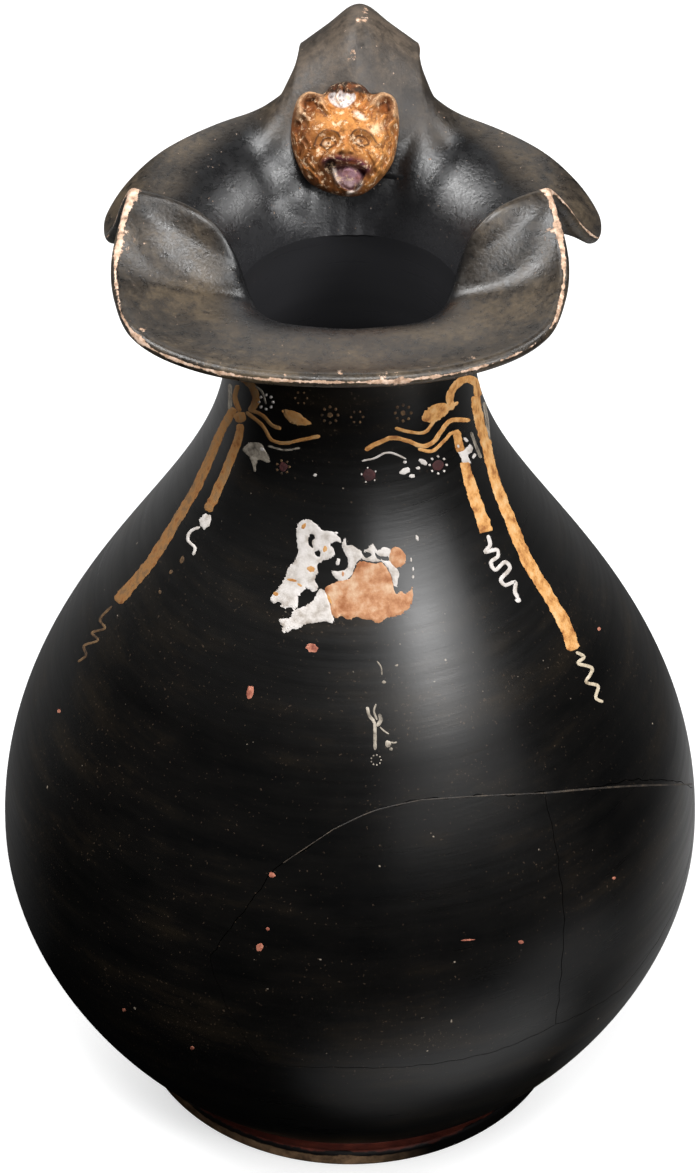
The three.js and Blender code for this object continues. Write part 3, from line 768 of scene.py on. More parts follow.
# %% The ring foot
def soften(profile, radius, steps=4):
    """Each corner of a closed profile becomes a small Bezier arc that starts and ends a radius
    away from it."""
    before, after = np.roll(profile, 1, axis=0), np.roll(profile, -1, axis=0)
    room = np.minimum(np.linalg.norm(before - profile, axis=1), np.linalg.norm(after - profile, axis=1))
    size = np.minimum(radius, room * 0.45)[:, None]
    start = profile + unit(before - profile) * size
    end = profile + unit(after - profile) * size
    middle_in, middle_out = (start + 2 * profile) / 3, (end + 2 * profile) / 3
    arcs = bezier([start, middle_in, middle_out, end], np.linspace(0, 1, steps)[:, None])
    return arcs.transpose(1, 0, 2).reshape(-1, 2)


def make_foot_finish():
    """Clay slip in bands: maroon above, a thin black band, and worn buff clay at the floor on the left
    and front, which turns black on the right. Towards the right all the bands are also painted near
    black with little shine, as painted shade."""
    material, tree, shader, place = start_material("banded_foot_slip", 0.5, 1.35)
    across, up = (put(tree, "SeparateXYZ", (place,), out=axis) for axis in (0, 2))
    uneven, worn = (
        put(tree, "TexNoise", {"Vector": place, "Scale": 1000 / size, "Detail": 5, "Roughness": rough})
        for size, rough in ((9, 0.55), (3.5, 0.65)))
    wander = put(tree, "MapRange", (uneven, 0.3, 0.7, -0.0009, 0.0009))
    level = put(tree, "Math", (up, wander), operation="ADD")
    by_wear = put(tree, "MapRange", (worn, 0.35, 0.65))
    maroon, tone = (
        put(tree, "Mix", {0: by_wear, 6: linear(dark), 7: linear(pale)}, out=2, data_type="RGBA")
        for dark, pale in (("#4a211b", "#6c3327"), ("#4d3b2c", "#94765a")))
    above = put(tree, "MapRange", (level, 0.0046, 0.0050))
    bands = put(tree, "Mix", {0: above, 6: linear("#0b0909"), 7: maroon}, out=2, data_type="RGBA")
    # Towards the right the bare clay turns black; the later near-black layer and the lower shine are
    # painted shade.
    right = put(tree, "MapRange", (across, 0, 0.02))
    layers = (
        (right, linear("#0e0c0b")), (put(tree, "MapRange", (level, 0.0034, 0.0037)), bands),
        (put(tree, "MapRange", (right, 0, 1, 0, 0.7)), linear("#050505")),
    )
    for share_of, over in layers:
        tone = put(tree, "Mix", {0: share_of, 6: tone, 7: over}, out=2, data_type="RGBA")
    plug(tree, shader, {
        "Base Color": tone,
        "Roughness": put(tree, "MapRange", (worn, 0.3, 0.7, 0.42, 0.66)),
        "Specular IOR Level": put(tree, "MapRange", (right, 0, 1, 0.5, 0.05)),
        "Normal": put(tree, "Bump", {"Height": worn, "Strength": 0.4, "Distance": 0.3 * MM}),
    })
    return material


def make_foot():
    """Turned ring with a groove between its two mouldings."""
    inner = FOOT_RADIUS - FOOT_RING_WIDTH
    groove = FOOT_HEIGHT * 0.55
    profile = np.array([
        (FOOT_RADIUS - FOOT_GROOVE, 0), (FOOT_RADIUS, FOOT_GROOVE), (FOOT_RADIUS, groove - FOOT_GROOVE),
        (FOOT_RADIUS - FOOT_GROOVE, groove), (FOOT_RADIUS, groove + FOOT_GROOVE),
        (BASE_RADIUS, FOOT_HEIGHT + JOINT * 0.9), (inner, FOOT_HEIGHT + JOINT * 0.9),
        (inner, FOOT_GROOVE), (inner + FOOT_GROOVE, 0),
    ])
    rings = turned(soften(profile, FOOT_CORNER), TURNED_COLUMNS)
    points = rings.reshape(-1, 3)
    faces = outward(points, grid_faces(*rings.shape[:2], looped=True))
    return make_piece("foot_ring_fine", points, faces, make_foot_finish(), "foot_slip", ["foot_ring"])


make_foot()

# %% [markdown]
# ## The folded mouth
#
# The potter threw a wide flaring mouth and then folded it while it was soft: a broad lobe in front
# for pouring, pinched at its two corners, and a lobe on each side that turns down. No turned
# outline can do that. So the lip is a closed curve in space, and three more closed curves shape the
# wall between the throat and the lip. At each place round the mouth the four of them are the four
# points of a Bezier section, which then gets its thickness and a rounded lip.

# %% The four curves of the mouth
def mouth_keys(side):
    """Keys on one half of the lip: lip point, throat azimuth, and the two points that shape the
    wall between them, as shares of the way to the lip and of the mouth's height."""
    def front(across, forward, up):
        return np.array([
            FRONT_LEAN + side * FRONT_HALF_WIDTH * across, -FRONT_REACH * forward,
            between(FRONT_LIP_HEIGHT, PINCH_HEIGHT, up),
        ])

    pinch = front(0.95, 0, 1)
    lobe = np.array([LOBE_LEAN + side * LOBE_HALF_WIDTH, LOBE_PLACE, LOBE_LIP_HEIGHT])

    def fold(along, drop):
        return np.array([*between(pinch, lobe, along)[:2], between(pinch[2], lobe[2], drop)])

    def back(across, place, up):
        return np.array([
            lobe[0] * across, between(LOBE_PLACE, BACK_REACH, place),
            between(LOBE_LIP_HEIGHT, BACK_LIP_HEIGHT, up),
        ])

    return [
        (front(0.41, 0.962, 0), 12, -0.03, 0.596, 0.42, 0.351),
        (front(0.72, 0.855, 0.04), 24, -0.03, 0.561, 0.42, 0.316),
        (front(0.91, 0.7, 0.11), 33, -0.03, 0.526, 0.45, 0.316),
        (front(0.985, 0.49, 0.22), 41, -0.03, 0.526, 0.48, 0.316),
        (front(1, 0.31, 0.45), 49, -0.03, 0.561, 0.5, 0.386),
        (front(0.97, 0.13, 0.8), 57, -0.02, 0.702, 0.45, 0.702),
        (pinch, 64, 0, 0.877, 0.36, 1),
        (fold(0.3, 0.3), 71, 0.03, 0.772, 0.42, 0.912),
        (fold(0.66, 0.74), 79, 0.07, 0.62, 0.52, 0.807),
        (fold(0.95, 1), 88, 0.1, 0.5, 0.58, 0.737),
        (back(0.99, 0.16, 0.12), 99, 0.12, 0.42, 0.6, 0.702),
        (back(0.9, 0.4, 0.4), 111, 0.12, 0.4, 0.58, 0.702),
        (back(0.745, 0.65, 0.65), 125, 0.12, 0.37, 0.52, 0.702),
        (back(0.5, 0.88, 0.84), 143, 0.12, 0.36, 0.5, 0.67),
        (back(0.25, 0.98, 0.96), 161, 0.12, 0.35, 0.5, 0.66),
    ]


front_key = (np.array([FRONT_LEAN / 2, -FRONT_REACH, FRONT_LIP_HEIGHT]), 0, -0.03, 0.596, 0.42, 0.351)
back_key = (np.array([0, BACK_REACH, BACK_LIP_HEIGHT]), 180, 0.12, 0.35, 0.5, 0.66)
left_keys = [(lip, -azimuth, *rest) for lip, azimuth, *rest in mouth_keys(-1)[::-1]]
keys = [front_key, *mouth_keys(1), back_key, *left_keys]
lips = np.array([key[0] for key in keys])
azimuths, rise_shares, rise_heights, crown_shares, crown_heights = np.array(
    [key[1:] for key in keys]).T
bore = MOUTH_JOINT_RADIUS - WALL
mouth_span = PINCH_HEIGHT - MOUTH_JOINT_HEIGHT
throat_turn = np.radians(azimuths)
throats = np.stack([
    bore * np.sin(throat_turn), -bore * np.cos(throat_turn),
    np.full(len(keys), MOUTH_JOINT_HEIGHT + JOINT),
], axis=1)
risen = throats + (lips - throats) * rise_shares[:, None]
risen[:, 2] = MOUTH_JOINT_HEIGHT + mouth_span * rise_heights
crowns = throats + (lips - throats) * crown_shares[:, None]
crowns[:, 2] = MOUTH_JOINT_HEIGHT + mouth_span * crown_heights
print("mouth keys:", len(keys))


# %% The mouth's surface
def mouth_rings(turns=400, steps=30, lip_steps=9):
    """Bezier sections round the mouth, each thickened along its normal in the upright plane through
    the axis: inside up, half a circle round the lip, outside down."""
    around = np.arange(turns) / turns
    controls = [curve(points, around, closed=True) for points in (throats, risen, crowns, lips)]
    place = np.linspace(0, 1, steps + 1)
    inner = bezier(controls, place[:, None])
    along = unit(bezier_slope(controls, place[:, None]))
    radial = unit(inner * [1, 1, 0])
    run = (along * radial).sum(-1, keepdims=True)
    normal = unit(radial * along[..., 2:] - run * [0, 0, 1])
    thickness = (WALL + (LIP_THICKNESS - WALL) * place)[:, None, None]
    outer = inner + normal * thickness
    outer[0, :, 2] = inner[0, :, 2]
    tip = unit(radial * run + along[..., 2:] * [0, 0, 1])[-1]
    bend = np.linspace(0, math.pi, lip_steps + 2)[1:-1, None, None]
    half = LIP_THICKNESS / 2
    middle = inner[-1] + normal[-1] * half
    lip = middle + half * (-np.cos(bend) * normal[-1] + np.sin(bend) * tip)
    return np.concatenate([inner, lip, outer[::-1]])


# %% Wear on the lip
def from_lip(rings):
    """Length along each section from the middle of the lip, below 0 inside and above 0 outside."""
    length = np.cumsum(np.linalg.norm(np.diff(rings, axis=0, prepend=rings[:1]), axis=-1), axis=0)
    return length - length[rings.shape[0] // 2]


# Shares of the way round from the front, then the bare line's width in mm, its shift in mm from the
# lip's middle (inwards below 0), and its strength.
LIP_STATIONS = [0, 0.06, 0.1, 0.13, 0.17, 0.2, 0.218, 0.235, 0.27, 0.33, 0.36, 0.5]
LIP_WEAR = [
    [0.4, 0.4, 0.4, 0.5, 0.6, 1.0, 1.2, 0.5, 0.3, 0.4, 0.35, 0.3],
    [0.1, 0.1, -0.4, -1.0, -1.3, -1.4, -1.2, -0.8, -1, -1, -1, -0.6],
    [0.8, 0.8, 0.75, 0.85, 0.95, 1.15, 1.15, 0.8, 0.7, 0.7, 0.7, 0.66],
]


def lip_wear(rings):
    """How bare the clay is: strength exp(-(distance from a line beside the lip's middle / width)^2).
    The line moves inwards and the width grows from the front to the pinched corners, and round it
    0.18 exp(-(distance / 5)^2) lets the noise crumble the gloss."""
    turns = rings.shape[1]
    around = np.arange(turns) / turns
    from_front = np.minimum(around, 1 - around)
    width, shift, strength = (np.interp(from_front, LIP_STATIONS, values) for values in LIP_WEAR)
    width = width * (1 + 0.4 * np.interp(around * 70, np.arange(71), chance.uniform(-1, 1, 71)))
    left = around > 0.5
    width[left] *= 1 + 1.1 * np.exp(-((from_front[left] - 0.212) / 0.016) ** 2)
    crumbled = 0.18 * ramp(np.cos(around * 2 * math.pi), -0.3, 0.5) * np.exp(-(from_lip(rings) / 5) ** 2)
    return strength * np.exp(-((from_lip(rings) - shift) / width) ** 2) + crumbled


def kept_gloss(rings):
    """Where the gloss was never rubbed: away from the lip, and sooner so behind the handle's root."""
    around = np.arange(rings.shape[1]) / rings.shape[1]
    front_share = ramp(np.cos(around * 2 * math.pi), -0.2, 0.5)
    root_share = 1 - ramp(np.abs(around - 0.5), 0.05, 0.13)
    near = 9 + 8 * front_share - 9 * root_share
    far = 24 + 8 * front_share - 14 * root_share
    return ramp(-from_lip(rings), near, far) + 0.5 * ramp(from_lip(rings), 2, 8)


mouth = mouth_rings()
print("mouth grid:", mouth.shape[:2])

# %% [markdown]
# ## The strap handle
#
# The handle was pulled by hand as a strap with a ridge down its back, bent over and pressed on at
# both ends. Its gabled section is a closed curve through twelve keys. A path carries it up from the
# mouth's back, over the top and down to the shoulder, while its width, ridge and edge change.
#
# Where it starts, a thumb has smeared its clay over the mouth. So near the mouth the points of both
# skins move outwards to one surface that joins the two smoothly. Strap and mouth then meet in a
# hollow curve, with no edge between them.

# %% The section of the strap
def strap_keys(width, ridge, thickness):
    """The gabled section: rounded edges, a ridge outside and a flat underside."""
    half, edge = width / 2, thickness / 2
    top = edge + ridge
    return np.stack([
        np.stack(pair, axis=-1) for pair in (
            (-half, -edge * 0.4), (-half, edge * 0.5), (-half * 0.9, edge),
            (-half * 0.5, edge + ridge * 0.47), (-half * 0.14, top - ridge * 0.08),
            (half * 0.14, top - ridge * 0.08), (half * 0.5, edge + ridge * 0.47),
            (half * 0.9, edge), (half, edge * 0.5), (half, -edge * 0.4),
            (half * 0.8, -edge), (-half * 0.8, -edge),
        )
    ])


# %% The strap's path
def handle_rings(steps=150, around=72):
    """The section carried along the strap's path, square to it. Each row of the path holds a share
    of the handle's reach, a share of the rise to its top (the first three) or of the fall to its
    lower root, and shares of its width, ridge and edge. The last two take their reach from the wall."""
    root = float(wall_radius(HANDLE_ROOT_HEIGHT))
    table = np.array([
        (-0.433, -1.176, 0.9, 0.1, 0.5), (-0.258, -0.176, 1.15, 0.25, 0.7), (-0.051, 0.588, 1.1, 0.6, 1),
        (0.22, 0, 1, 1, 1), (0.522, 0.044, 1, 1, 1), (0.793, 0.156, 0.97, 0.9, 1),
        (0.952, 0.322, 0.93, 0.75, 1), (1, 0.5, 0.9, 0.65, 1), (0.873, 0.711, 0.92, 0.6, 1),
        (0.586, 0.878, 1, 0.5, 1), (0, 0.978, 1.15, 0.35, 1), (0, 1.044, 1.25, 0.2, 1),
    ])
    rising, falling = table[:3, 1], table[3:, 1]
    level = np.concatenate([
        between(BACK_LIP_HEIGHT, HANDLE_TOP_HEIGHT, rising),
        between(HANDLE_TOP_HEIGHT, HANDLE_ROOT_HEIGHT, falling),
    ])
    away = between(BACK_REACH, HANDLE_REACH, table[:, 0])
    away[-2:] = root * 1.055, root * 0.871
    sizes = table[:, 2:] * [HANDLE_WIDTH, HANDLE_RIDGE, HANDLE_EDGE]
    path = np.stack([np.zeros(len(away)), away, level], axis=1)
    place = np.linspace(0, 1, steps + 1)
    run = curve(path, place, power=0.5)
    along = unit(np.gradient(run, axis=0))
    out = np.stack([np.zeros(steps + 1), -along[:, 2], along[:, 1]], axis=1)
    keys_along = strap_keys(*curve(sizes, place).T)
    section = curve(keys_along.reshape(12, -1), np.arange(around) / around, closed=True)
    section = section.reshape(around, steps + 1, 2)
    lean = HANDLE_LEAN * np.minimum(1, 0.35 + place)
    rings = run + section[..., 1:] * out
    rings[..., 0] = section[..., 0] + lean
    return rings.transpose(1, 0, 2), section.transpose(1, 0, 2), place


# %% Closed ends, and the normals of a grid
def cap_ends(rings):
    """Points and faces of a tube of rings whose two ends close on a point in their middle."""
    rows, columns = rings.shape[:2]
    points = np.vstack([rings.reshape(-1, 3), rings[0].mean(0), rings[-1].mean(0)])
    body = grid_faces(rows, columns)
    step = np.arange(columns)
    after = (step + 1) % columns
    low, high = rows * columns, rows * columns + 1
    last = (rows - 1) * columns
    first_cap = np.stack([np.full(columns, low), after, step], axis=1)
    last_cap = np.stack([np.full(columns, high), last + step, last + after], axis=1)
    return points, np.vstack([halved(body), first_cap, last_cap])


def skin_normals(rings, away):
    """Unit normals of a grid that closes round, on the side that away points to."""
    crossed = np.cross(np.gradient(rings, axis=0), np.roll(rings, -1, axis=1) - np.roll(rings, 1, axis=1))
    return unit(crossed) * np.sign((crossed * away).sum())


# %% One surface over two skins
def height_over(points, skin, skin_normal, reach=1.4):
    """Height of points over a skin, and its normal there. Each point of the skin weighs in by
    exp((d0^2 - d^2) / reach^2), with d its distance and d0 the nearest one's."""
    apart = (points**2).sum(-1)[:, None] + (skin**2).sum(-1) - 2 * points @ skin.T
    weight = np.exp((apart.min(axis=1, keepdims=True) - apart) / reach**2)
    weight /= weight.sum(axis=1, keepdims=True)
    normal = weight @ skin_normal
    return (points * normal).sum(-1) - weight @ (skin * skin_normal).sum(-1), unit(normal)


def swell(points, normal, skin, skin_normal, bury, reach=12.0, most=8.0, steps=6):
    """How far points move out along their normals to the surface that joins both skins smoothly:
    min(a, b) - max(r - |a - b|, 0)^2 / 4r = 0, with a and b the heights over the two skins, and r a
    reach that falls with the angle between them and down the throat. Gives also the heights b."""
    out = np.zeros(len(points))
    height = height_over(points, skin, skin_normal)[0]
    near = height < reach
    for _ in range(steps):
        over, facing = height_over(points[near] + normal[near] * out[near, None], skin, skin_normal)
        angle = np.linalg.norm(facing - normal[near], axis=1) / math.sqrt(2)
        above = ramp(points[near, 2], MOUTH_JOINT_HEIGHT + 1, MOUTH_JOINT_HEIGHT + 10)
        span = reach * np.clip(angle, 0.05, 1) * between(0.05, 1, above)
        own = out[near]
        joined = np.minimum(own, over) - np.maximum(span - np.abs(own - over), 0) ** 2 / (4 * span)
        out[near] = np.clip(own - joined - bury(own, over), 0, most)
        height[near] = over
    return out, height


# %% The mouth and the handle, joined
# How much of the strap's path takes part, and how deep the lower skin is buried under the other.
ROOT_SHARE = 0.3
BURIED = 0.2
handle, section, place = handle_rings()
handle_normal = skin_normals(handle, handle - handle.mean(axis=1, keepdims=True))
mouth_normal = skin_normals(mouth, mouth - mouth[::-1])
root_count = int(len(place) * ROOT_SHARE)
near_root = (np.abs(mouth[..., 0]) < 40) & (mouth[..., 1] > 8)
mouth_skin = mouth[near_root], mouth_normal[near_root]
root_skin = handle[:root_count].reshape(-1, 3), handle_normal[:root_count].reshape(-1, 3)
swelling = np.zeros(mouth.shape[:2])
swelling[near_root] = swell(*mouth_skin, *root_skin, lambda own, over: BURIED * ramp(own, 1.5, 4))[0]
root_out, root_height = swell(
    *root_skin, *mouth_skin, lambda own, over: BURIED * (1 - ramp(over, 1.5, 4)))
mouth_joined = mouth + mouth_normal * swelling[..., None]
handle[:root_count] += (root_skin[1] * root_out[:, None]).reshape(root_count, -1, 3)
print("joined over", int((swelling > 0.1).sum()), "and", int((root_out > 0.1).sum()), "points")


def black_at_root(points):
    """1 down the throat and 0 at the rim, where the gloss round the root is rubbed brown."""
    return 1 - ramp(points[..., 2], 236, 247)


# %% The mouth's piece and the handle's piece
on_root = ramp(swelling, 0.3, 2.5)
kept = kept_gloss(mouth) * (1 - on_root) + black_at_root(mouth_joined) * on_root
mouth_points = mouth_joined.reshape(-1, 3)
mouth_faces = outward(mouth_points, grid_faces(*mouth.shape[:2], looped=True))
mouth_worn = lip_wear(mouth) * (1 - ramp(swelling, 0.1, 0.8))
# Painted light: inside the mouth a lighter grey grows towards the throat.
painted_throat_light = 0.75 * ramp(mouth[..., 2], MOUTH_JOINT_HEIGHT + 14, MOUTH_JOINT_HEIGHT) * (from_lip(mouth) < 0)
make_piece(
    "trefoil_mouth_fine", mouth_points, mouth_faces, brown_gloss, "brown_glaze", ["trefoil_mouth"],
    worn=mouth_worn.ravel(), kept=kept.ravel(), hand=ramp(swelling, 0.5, 5).ravel(), inside=painted_throat_light.ravel())

handle_points, handle_faces = cap_ends(handle)
high = section[..., 1] / section[..., 1].max(axis=1, keepdims=True)
wide = np.abs(section[..., 0]) / np.abs(section[..., 0]).max(axis=1, keepdims=True)
free = ramp(place, 0.16, 0.26)[:, None]
rubbed = free * np.maximum(0.3 * ramp(high, 0.9, 1.0), 0.3 * ramp(wide, 0.93, 1.0))
black = black_at_root(handle) * (1 - ramp(place, 0.2, 0.3))[:, None]
handled = np.ones(handle.shape[:2])
handled[:root_count] = ramp(root_height, 0.5, 5).reshape(root_count, -1)
handle_faces = outward(handle_points, handle_faces)
make_piece(
    "handle_fine", handle_points, handle_faces, brown_gloss, "brown_glaze", ["handle"],
    worn=np.append(rubbed.ravel(), [0, 0]), kept=np.append(black.ravel(), [1, 0]),
    hand=np.append(handled.ravel(), [0, 1]))

# %% [markdown]
# ## The lion's head
#
# The head at the handle's root was pressed in a mould and stuck on. It is modelled as a relief: a
# dome seen from the front, in millimetres across and up the face, to which soft bumps, ridges and
# hollows are added for brows, eyes, nose, cheeks, mane and the open mouth. Each feature is a hill, a
# ridge or a patch at its place on the face. The same masks also paint it: ochre clay, painted shade
# in the folds, creases and holes and down the left side, painted light on the right cheek and the
# ear rims, dark lines at the lids, white on the forehead, a maroon lip and a pale tongue.

# %% Bumps, ridges and masks on the face
def bump_at(x, y, place, size, turn_deg=0.0):
    """A soft hill: exp(-((across/width)^2 + (up/height)^2)), turned by an angle."""
    angle = math.radians(turn_deg)
    across, up = x - place[0], y - place[1]
    along = across * math.cos(angle) + up * math.sin(angle)
    over = -across * math.sin(angle) + up * math.cos(angle)
    return np.exp(-((along / size[0]) ** 2 + (over / size[1]) ** 2))


def ridge_along(x, y, keys, width):
    """A soft ridge: exp(-(distance to a curve through the keys / width)^2)."""
    line = curve(keys, np.linspace(0, 1, 28))
    away = np.hypot(x[..., None] - line[:, 0], y[..., None] - line[:, 1]).min(-1)
    return np.exp(-((away / width) ** 2))


def disc_at(x, y, place, size, edge=0.25, turn_deg=0.0):
    """1 inside an ellipse, 0 outside, with a soft edge as wide as a share of its size."""
    angle = math.radians(turn_deg)
    across, up = x - place[0], y - place[1]
    along = (across * math.cos(angle) + up * math.sin(angle)) / size[0]
    over = (-across * math.sin(angle) + up * math.cos(angle)) / size[1]
    return 1 - ramp(np.hypot(along, over), 1 - edge, 1 + edge)


def patch_within(x, y, keys, edge=0.25):
    """1 inside a closed curve through the keys, 0 outside, with a soft edge in mm."""
    line = curve(keys, np.arange(48) / 48, closed=True)
    points = np.stack([x, y], axis=-1).reshape(-1, 2)
    away = nearest_on(line, points)[1] * np.where(inside(line, points), 1, -1)
    return ramp(away, -edge, edge).reshape(x.shape)


# %% The face's features, in mm across and up from its middle
HEAD_OUTLINE = [
    (0.5, 13.9), (3.8, 13.0), (6.0, 11.0), (8.8, 11.4), (11.2, 9.9), (12.1, 5.7), (11.9, 1.1),
    (10.7, -4.3), (7.9, -8.4), (4.3, -11.4), (0.5, -12.2), (-4.3, -11.1), (-8.4, -8.8), (-10.8, -4.8),
    (-12.3, 0.2), (-12.1, 5.5), (-10.8, 9.9), (-8.4, 11.5), (-5.2, 11.0), (-3.2, 12.9),
]
FACE_DROP = 1.1
GAPE = [(-2.5, -6.0), (0.4, -5.9), (2.8, -6.2), (4.5, -6.9), (3.9, -8.5), (2.9, -10.2), (0.9, -11.0),
        (-1.0, -10.2), (-2.4, -8.2)]
UPPER_LIP = [(-4.6, -5.1), (-2.4, -4.7), (0.4, -4.9), (3.2, -5.4), (4.8, -6.6)]
LOWER_LIP = [(-2.8, -7.2), (-2.0, -9.2), (-0.5, -10.9), (1.2, -11.7), (3.0, -11.0), (4.2, -9.0)]
LEFT_BROW = [(-7.0, -1.4), (-6.3, 0.5), (-4.4, 1.8), (-2.1, 1.3), (-1.3, 0.2)]
RIGHT_BROW = [(1.2, 0.4), (2.1, 1.7), (3.8, 1.9), (5.6, 1.0), (6.9, -0.8)]
LEFT_LID = [(-5.6, -1.2), (-4.7, 0.1), (-3.2, 0.1), (-2.1, -1.0)]
RIGHT_LID = [(1.7, -0.4), (2.8, 0.6), (4.3, 0.4), (5.3, -0.8)]
LEFT_UNDER = [(-5.5, -1.4), (-4.1, -2.2), (-2.3, -1.5)]
RIGHT_UNDER = [(1.9, -0.9), (3.3, -1.7), (5.1, -1.3)]
LEFT_EAR = [(-10.2, 6.0), (-10.5, 9.0), (-8.8, 10.9), (-6.4, 10.6), (-5.3, 8.4)]
RIGHT_EAR = [(6.6, 8.4), (7.8, 10.1), (9.7, 10.3), (11.2, 8.6), (11.2, 5.9)]
EYES = [(-3.8, -1.0), (3.5, -0.5)]
LOCKS = [
    [(-11.3, 5.0), (-9.6, 3.4), (-10.6, 0.8), (-9.2, -1.6), (-10.0, -4.0)],
    [(-9.4, 5.8), (-8.0, 3.6), (-8.9, 1.0), (-8.0, -1.4), (-8.6, -4.4), (-7.2, -6.4)],
    [(-11.5, 1.6), (-10.8, -1.8), (-10.9, -3.6), (-9.4, -6.2)], [(-8.4, -6.4), (-6.6, -8.4), (-5.6, -9.8)],
    [(11.2, 4.6), (9.6, 3.0), (10.4, 0.6), (9.0, -1.6), (9.6, -3.8)],
    [(9.0, 5.6), (7.9, 3.6), (8.7, 1.2), (7.6, -1.2), (8.2, -4.0), (6.8, -6.2)],
    [(11.3, 1.0), (10.4, -2.0), (10.3, -4.0), (8.4, -6.8)], [(7.8, -6.6), (6.2, -8.4), (4.8, -9.9)],
    [(-3.4, 11.4), (-4.4, 9.2), (-3.2, 7.4)], [(-1.2, 11.6), (-2.0, 9.8), (-1.0, 7.8)],
    [(1.4, 11.6), (2.2, 9.6), (1.2, 7.6)], [(3.6, 11.4), (4.6, 9.4), (3.4, 7.4), (4.0, 6.2)],
    [(-7.0, 8.8), (-5.2, 7.6), (-3.7, 6.1)], [(6.2, 7.6), (5.0, 6.8), (4.6, 5.4)],
]


# %% Hills, nose and teeth
# Height in mm, place and half sizes: muzzle, brow, tip of the nose, two cheeks, two whisker pads,
# two nostrils. All of them sit lower by FACE_DROP.
HILLS = [
    (2.6, (-0.1, -2.6), (4.8, 3.8)), (0.8, (0, 3.4), (7.0, 2.4)), (1.4, (-0.2, -1.9), (2.1, 1.2)),
    (1.3, (-6.6, -3.2), (2.3, 2.6)), (1.3, (6.6, -3.2), (2.3, 2.6)),
    (0.9, (-2.8, -2.5), (1.6, 1.1)), (0.9, (2.6, -2.5), (1.6, 1.1)),
    (-0.8, (-1.3, -2.6), (0.45, 0.3)), (-0.8, (1.1, -2.5), (0.45, 0.3)),
]
NOSE = [(0.1, 4.0), (0.1, 1.2), (-0.2, -1.2)]
TEETH = [([(-2.6, -6.6), (-2.3, -7.8), (-1.6, -9.3)], 0.5), ([(2.6, -10.9), (3.5, -9.9)], 0.3)]
print("hills and locks on the face:", len(HILLS), len(LOCKS))


# %% The relief of the face
def face_relief(x, y):
    """Height in mm added to the dome, and the masks that paint the face."""
    low = y + FACE_DROP
    height = sum(up * bump_at(x, low, place, size) for up, place, size in HILLS)
    height = height + 1.6 * ridge_along(x, low, NOSE, 1.3) + 0.9 * bump_at(x, y, (1.0, -12.0), (3.6, 1.4))
    height += 1.0 * ridge_along(x, y, LEFT_BROW, 0.75) + 1.0 * ridge_along(x, y, RIGHT_BROW, 0.75)
    for eye in EYES:
        height -= 1.1 * bump_at(x, y, (eye[0], eye[1] + 0.2), (2.2, 1.5))
        height += 1.3 * bump_at(x, y, eye, (1.25, 0.85))
        height -= 0.45 * bump_at(x, y, eye, (0.36, 0.36))
    height += 0.5 * sum(ridge_along(x, y, keys, 0.24) for keys in (LEFT_LID, RIGHT_LID))
    height += 0.3 * sum(ridge_along(x, y, keys, 0.22) for keys in (LEFT_UNDER, RIGHT_UNDER))
    for side in (-1, 1):
        for fold in range(4):
            keys = [(side * (3.4 + fold * 0.7), -0.9 - fold * 0.7),
                    (side * (5.0 + fold * 0.5), -2.2 - fold * 0.9),
                    (side * (5.5 + fold * 0.4), -4.4 - fold * 0.8)]
            height -= 0.32 * ridge_along(x, low, keys, 0.26)
    ears = ridge_along(x, y, LEFT_EAR, 0.95) + ridge_along(x, y, RIGHT_EAR, 0.95)
    hollows = disc_at(x, y, (-8.0, 8.2), (1.9, 1.8), 0.4) + disc_at(x, y, (8.8, 8.0), (1.8, 1.7), 0.4)
    height += 2.2 * ears - 1.3 * hollows
    locks = sum(ridge_along(x, y, keys, 0.42) for keys in LOCKS)
    height += 0.95 * np.clip(locks, 0, 1.2)
    height += 0.35 * np.sin(x * 2.6 + 1.4 * np.sin(y * 0.9)) * ramp(np.hypot(x, y), 8.0, 9.5)
    tufts = np.sin(x * 3.1 + 0.8 * np.sin(x * 1.3)) * np.exp(-(((y - 11.3) / 1.6) ** 2))
    height += 0.8 * tufts * ramp(-np.abs(x), -7.5, -6.0)
    gape = patch_within(x, y, GAPE)
    corner = disc_at(x, y, (-3.5, -6.2), (1.2, 1.3), 0.25, -10)
    height += 0.9 * ridge_along(x, y, UPPER_LIP, 0.8) + 0.8 * ridge_along(x, y, LOWER_LIP, 0.5)
    height -= 3.6 * gape + 2.2 * corner * (1 - gape)
    tongue = disc_at(x, y, (1.0, -8.5), (3.0, 2.3), 0.35, -20) * gape
    height += 2.6 * tongue
    teeth = sum(ridge_along(x, y, keys, width) for keys, width in TEETH)
    height += 0.9 * np.clip(teeth, 0, 1)
    grooves = (np.clip(locks, 0, 1) < 0.25) * ramp(np.hypot(x, y - 1), 7.6, 9.4)
    masks = {"gape": gape, "corner": corner, "tongue": tongue, "teeth": teeth, "hollows": hollows,
             "grooves": grooves, "ears": ears}
    return height, masks


# %% The paint of the face
# Strength, place, half sizes, turn in degrees and tone of the soft clouds of colour. The paler cloud
# on the right cheek and the pale spot above it are painted light, and the dark clouds down the left
# side, at its edge and low on the left are painted shade.
TONE_LIGHT_AND_SHADE_CLOUDS = [
    (0.7, (-1.5, 4.6), (5.5, 2.6), 0, "#c98a48"), (0.6, (7.5, -2.0), (3.0, 5.5), 0, "#d89c5c"),
    (0.85, (7.2, 2.6), (2.0, 1.0), 20, "#e6c7a0"), (0.8, (-9.6, -1), (3.8, 8.0), 0, "#6b3a17"),
    (0.8, (-10.6, 4.5), (1.8, 4.0), 0, "#2c170b"), (0.5, (10.6, -1.5), (1.2, 4.0), 0, "#9a5d2b"),
    (0.7, (-6.5, -9.0), (4.5, 2.6), 0, "#6e3f1d"),
]
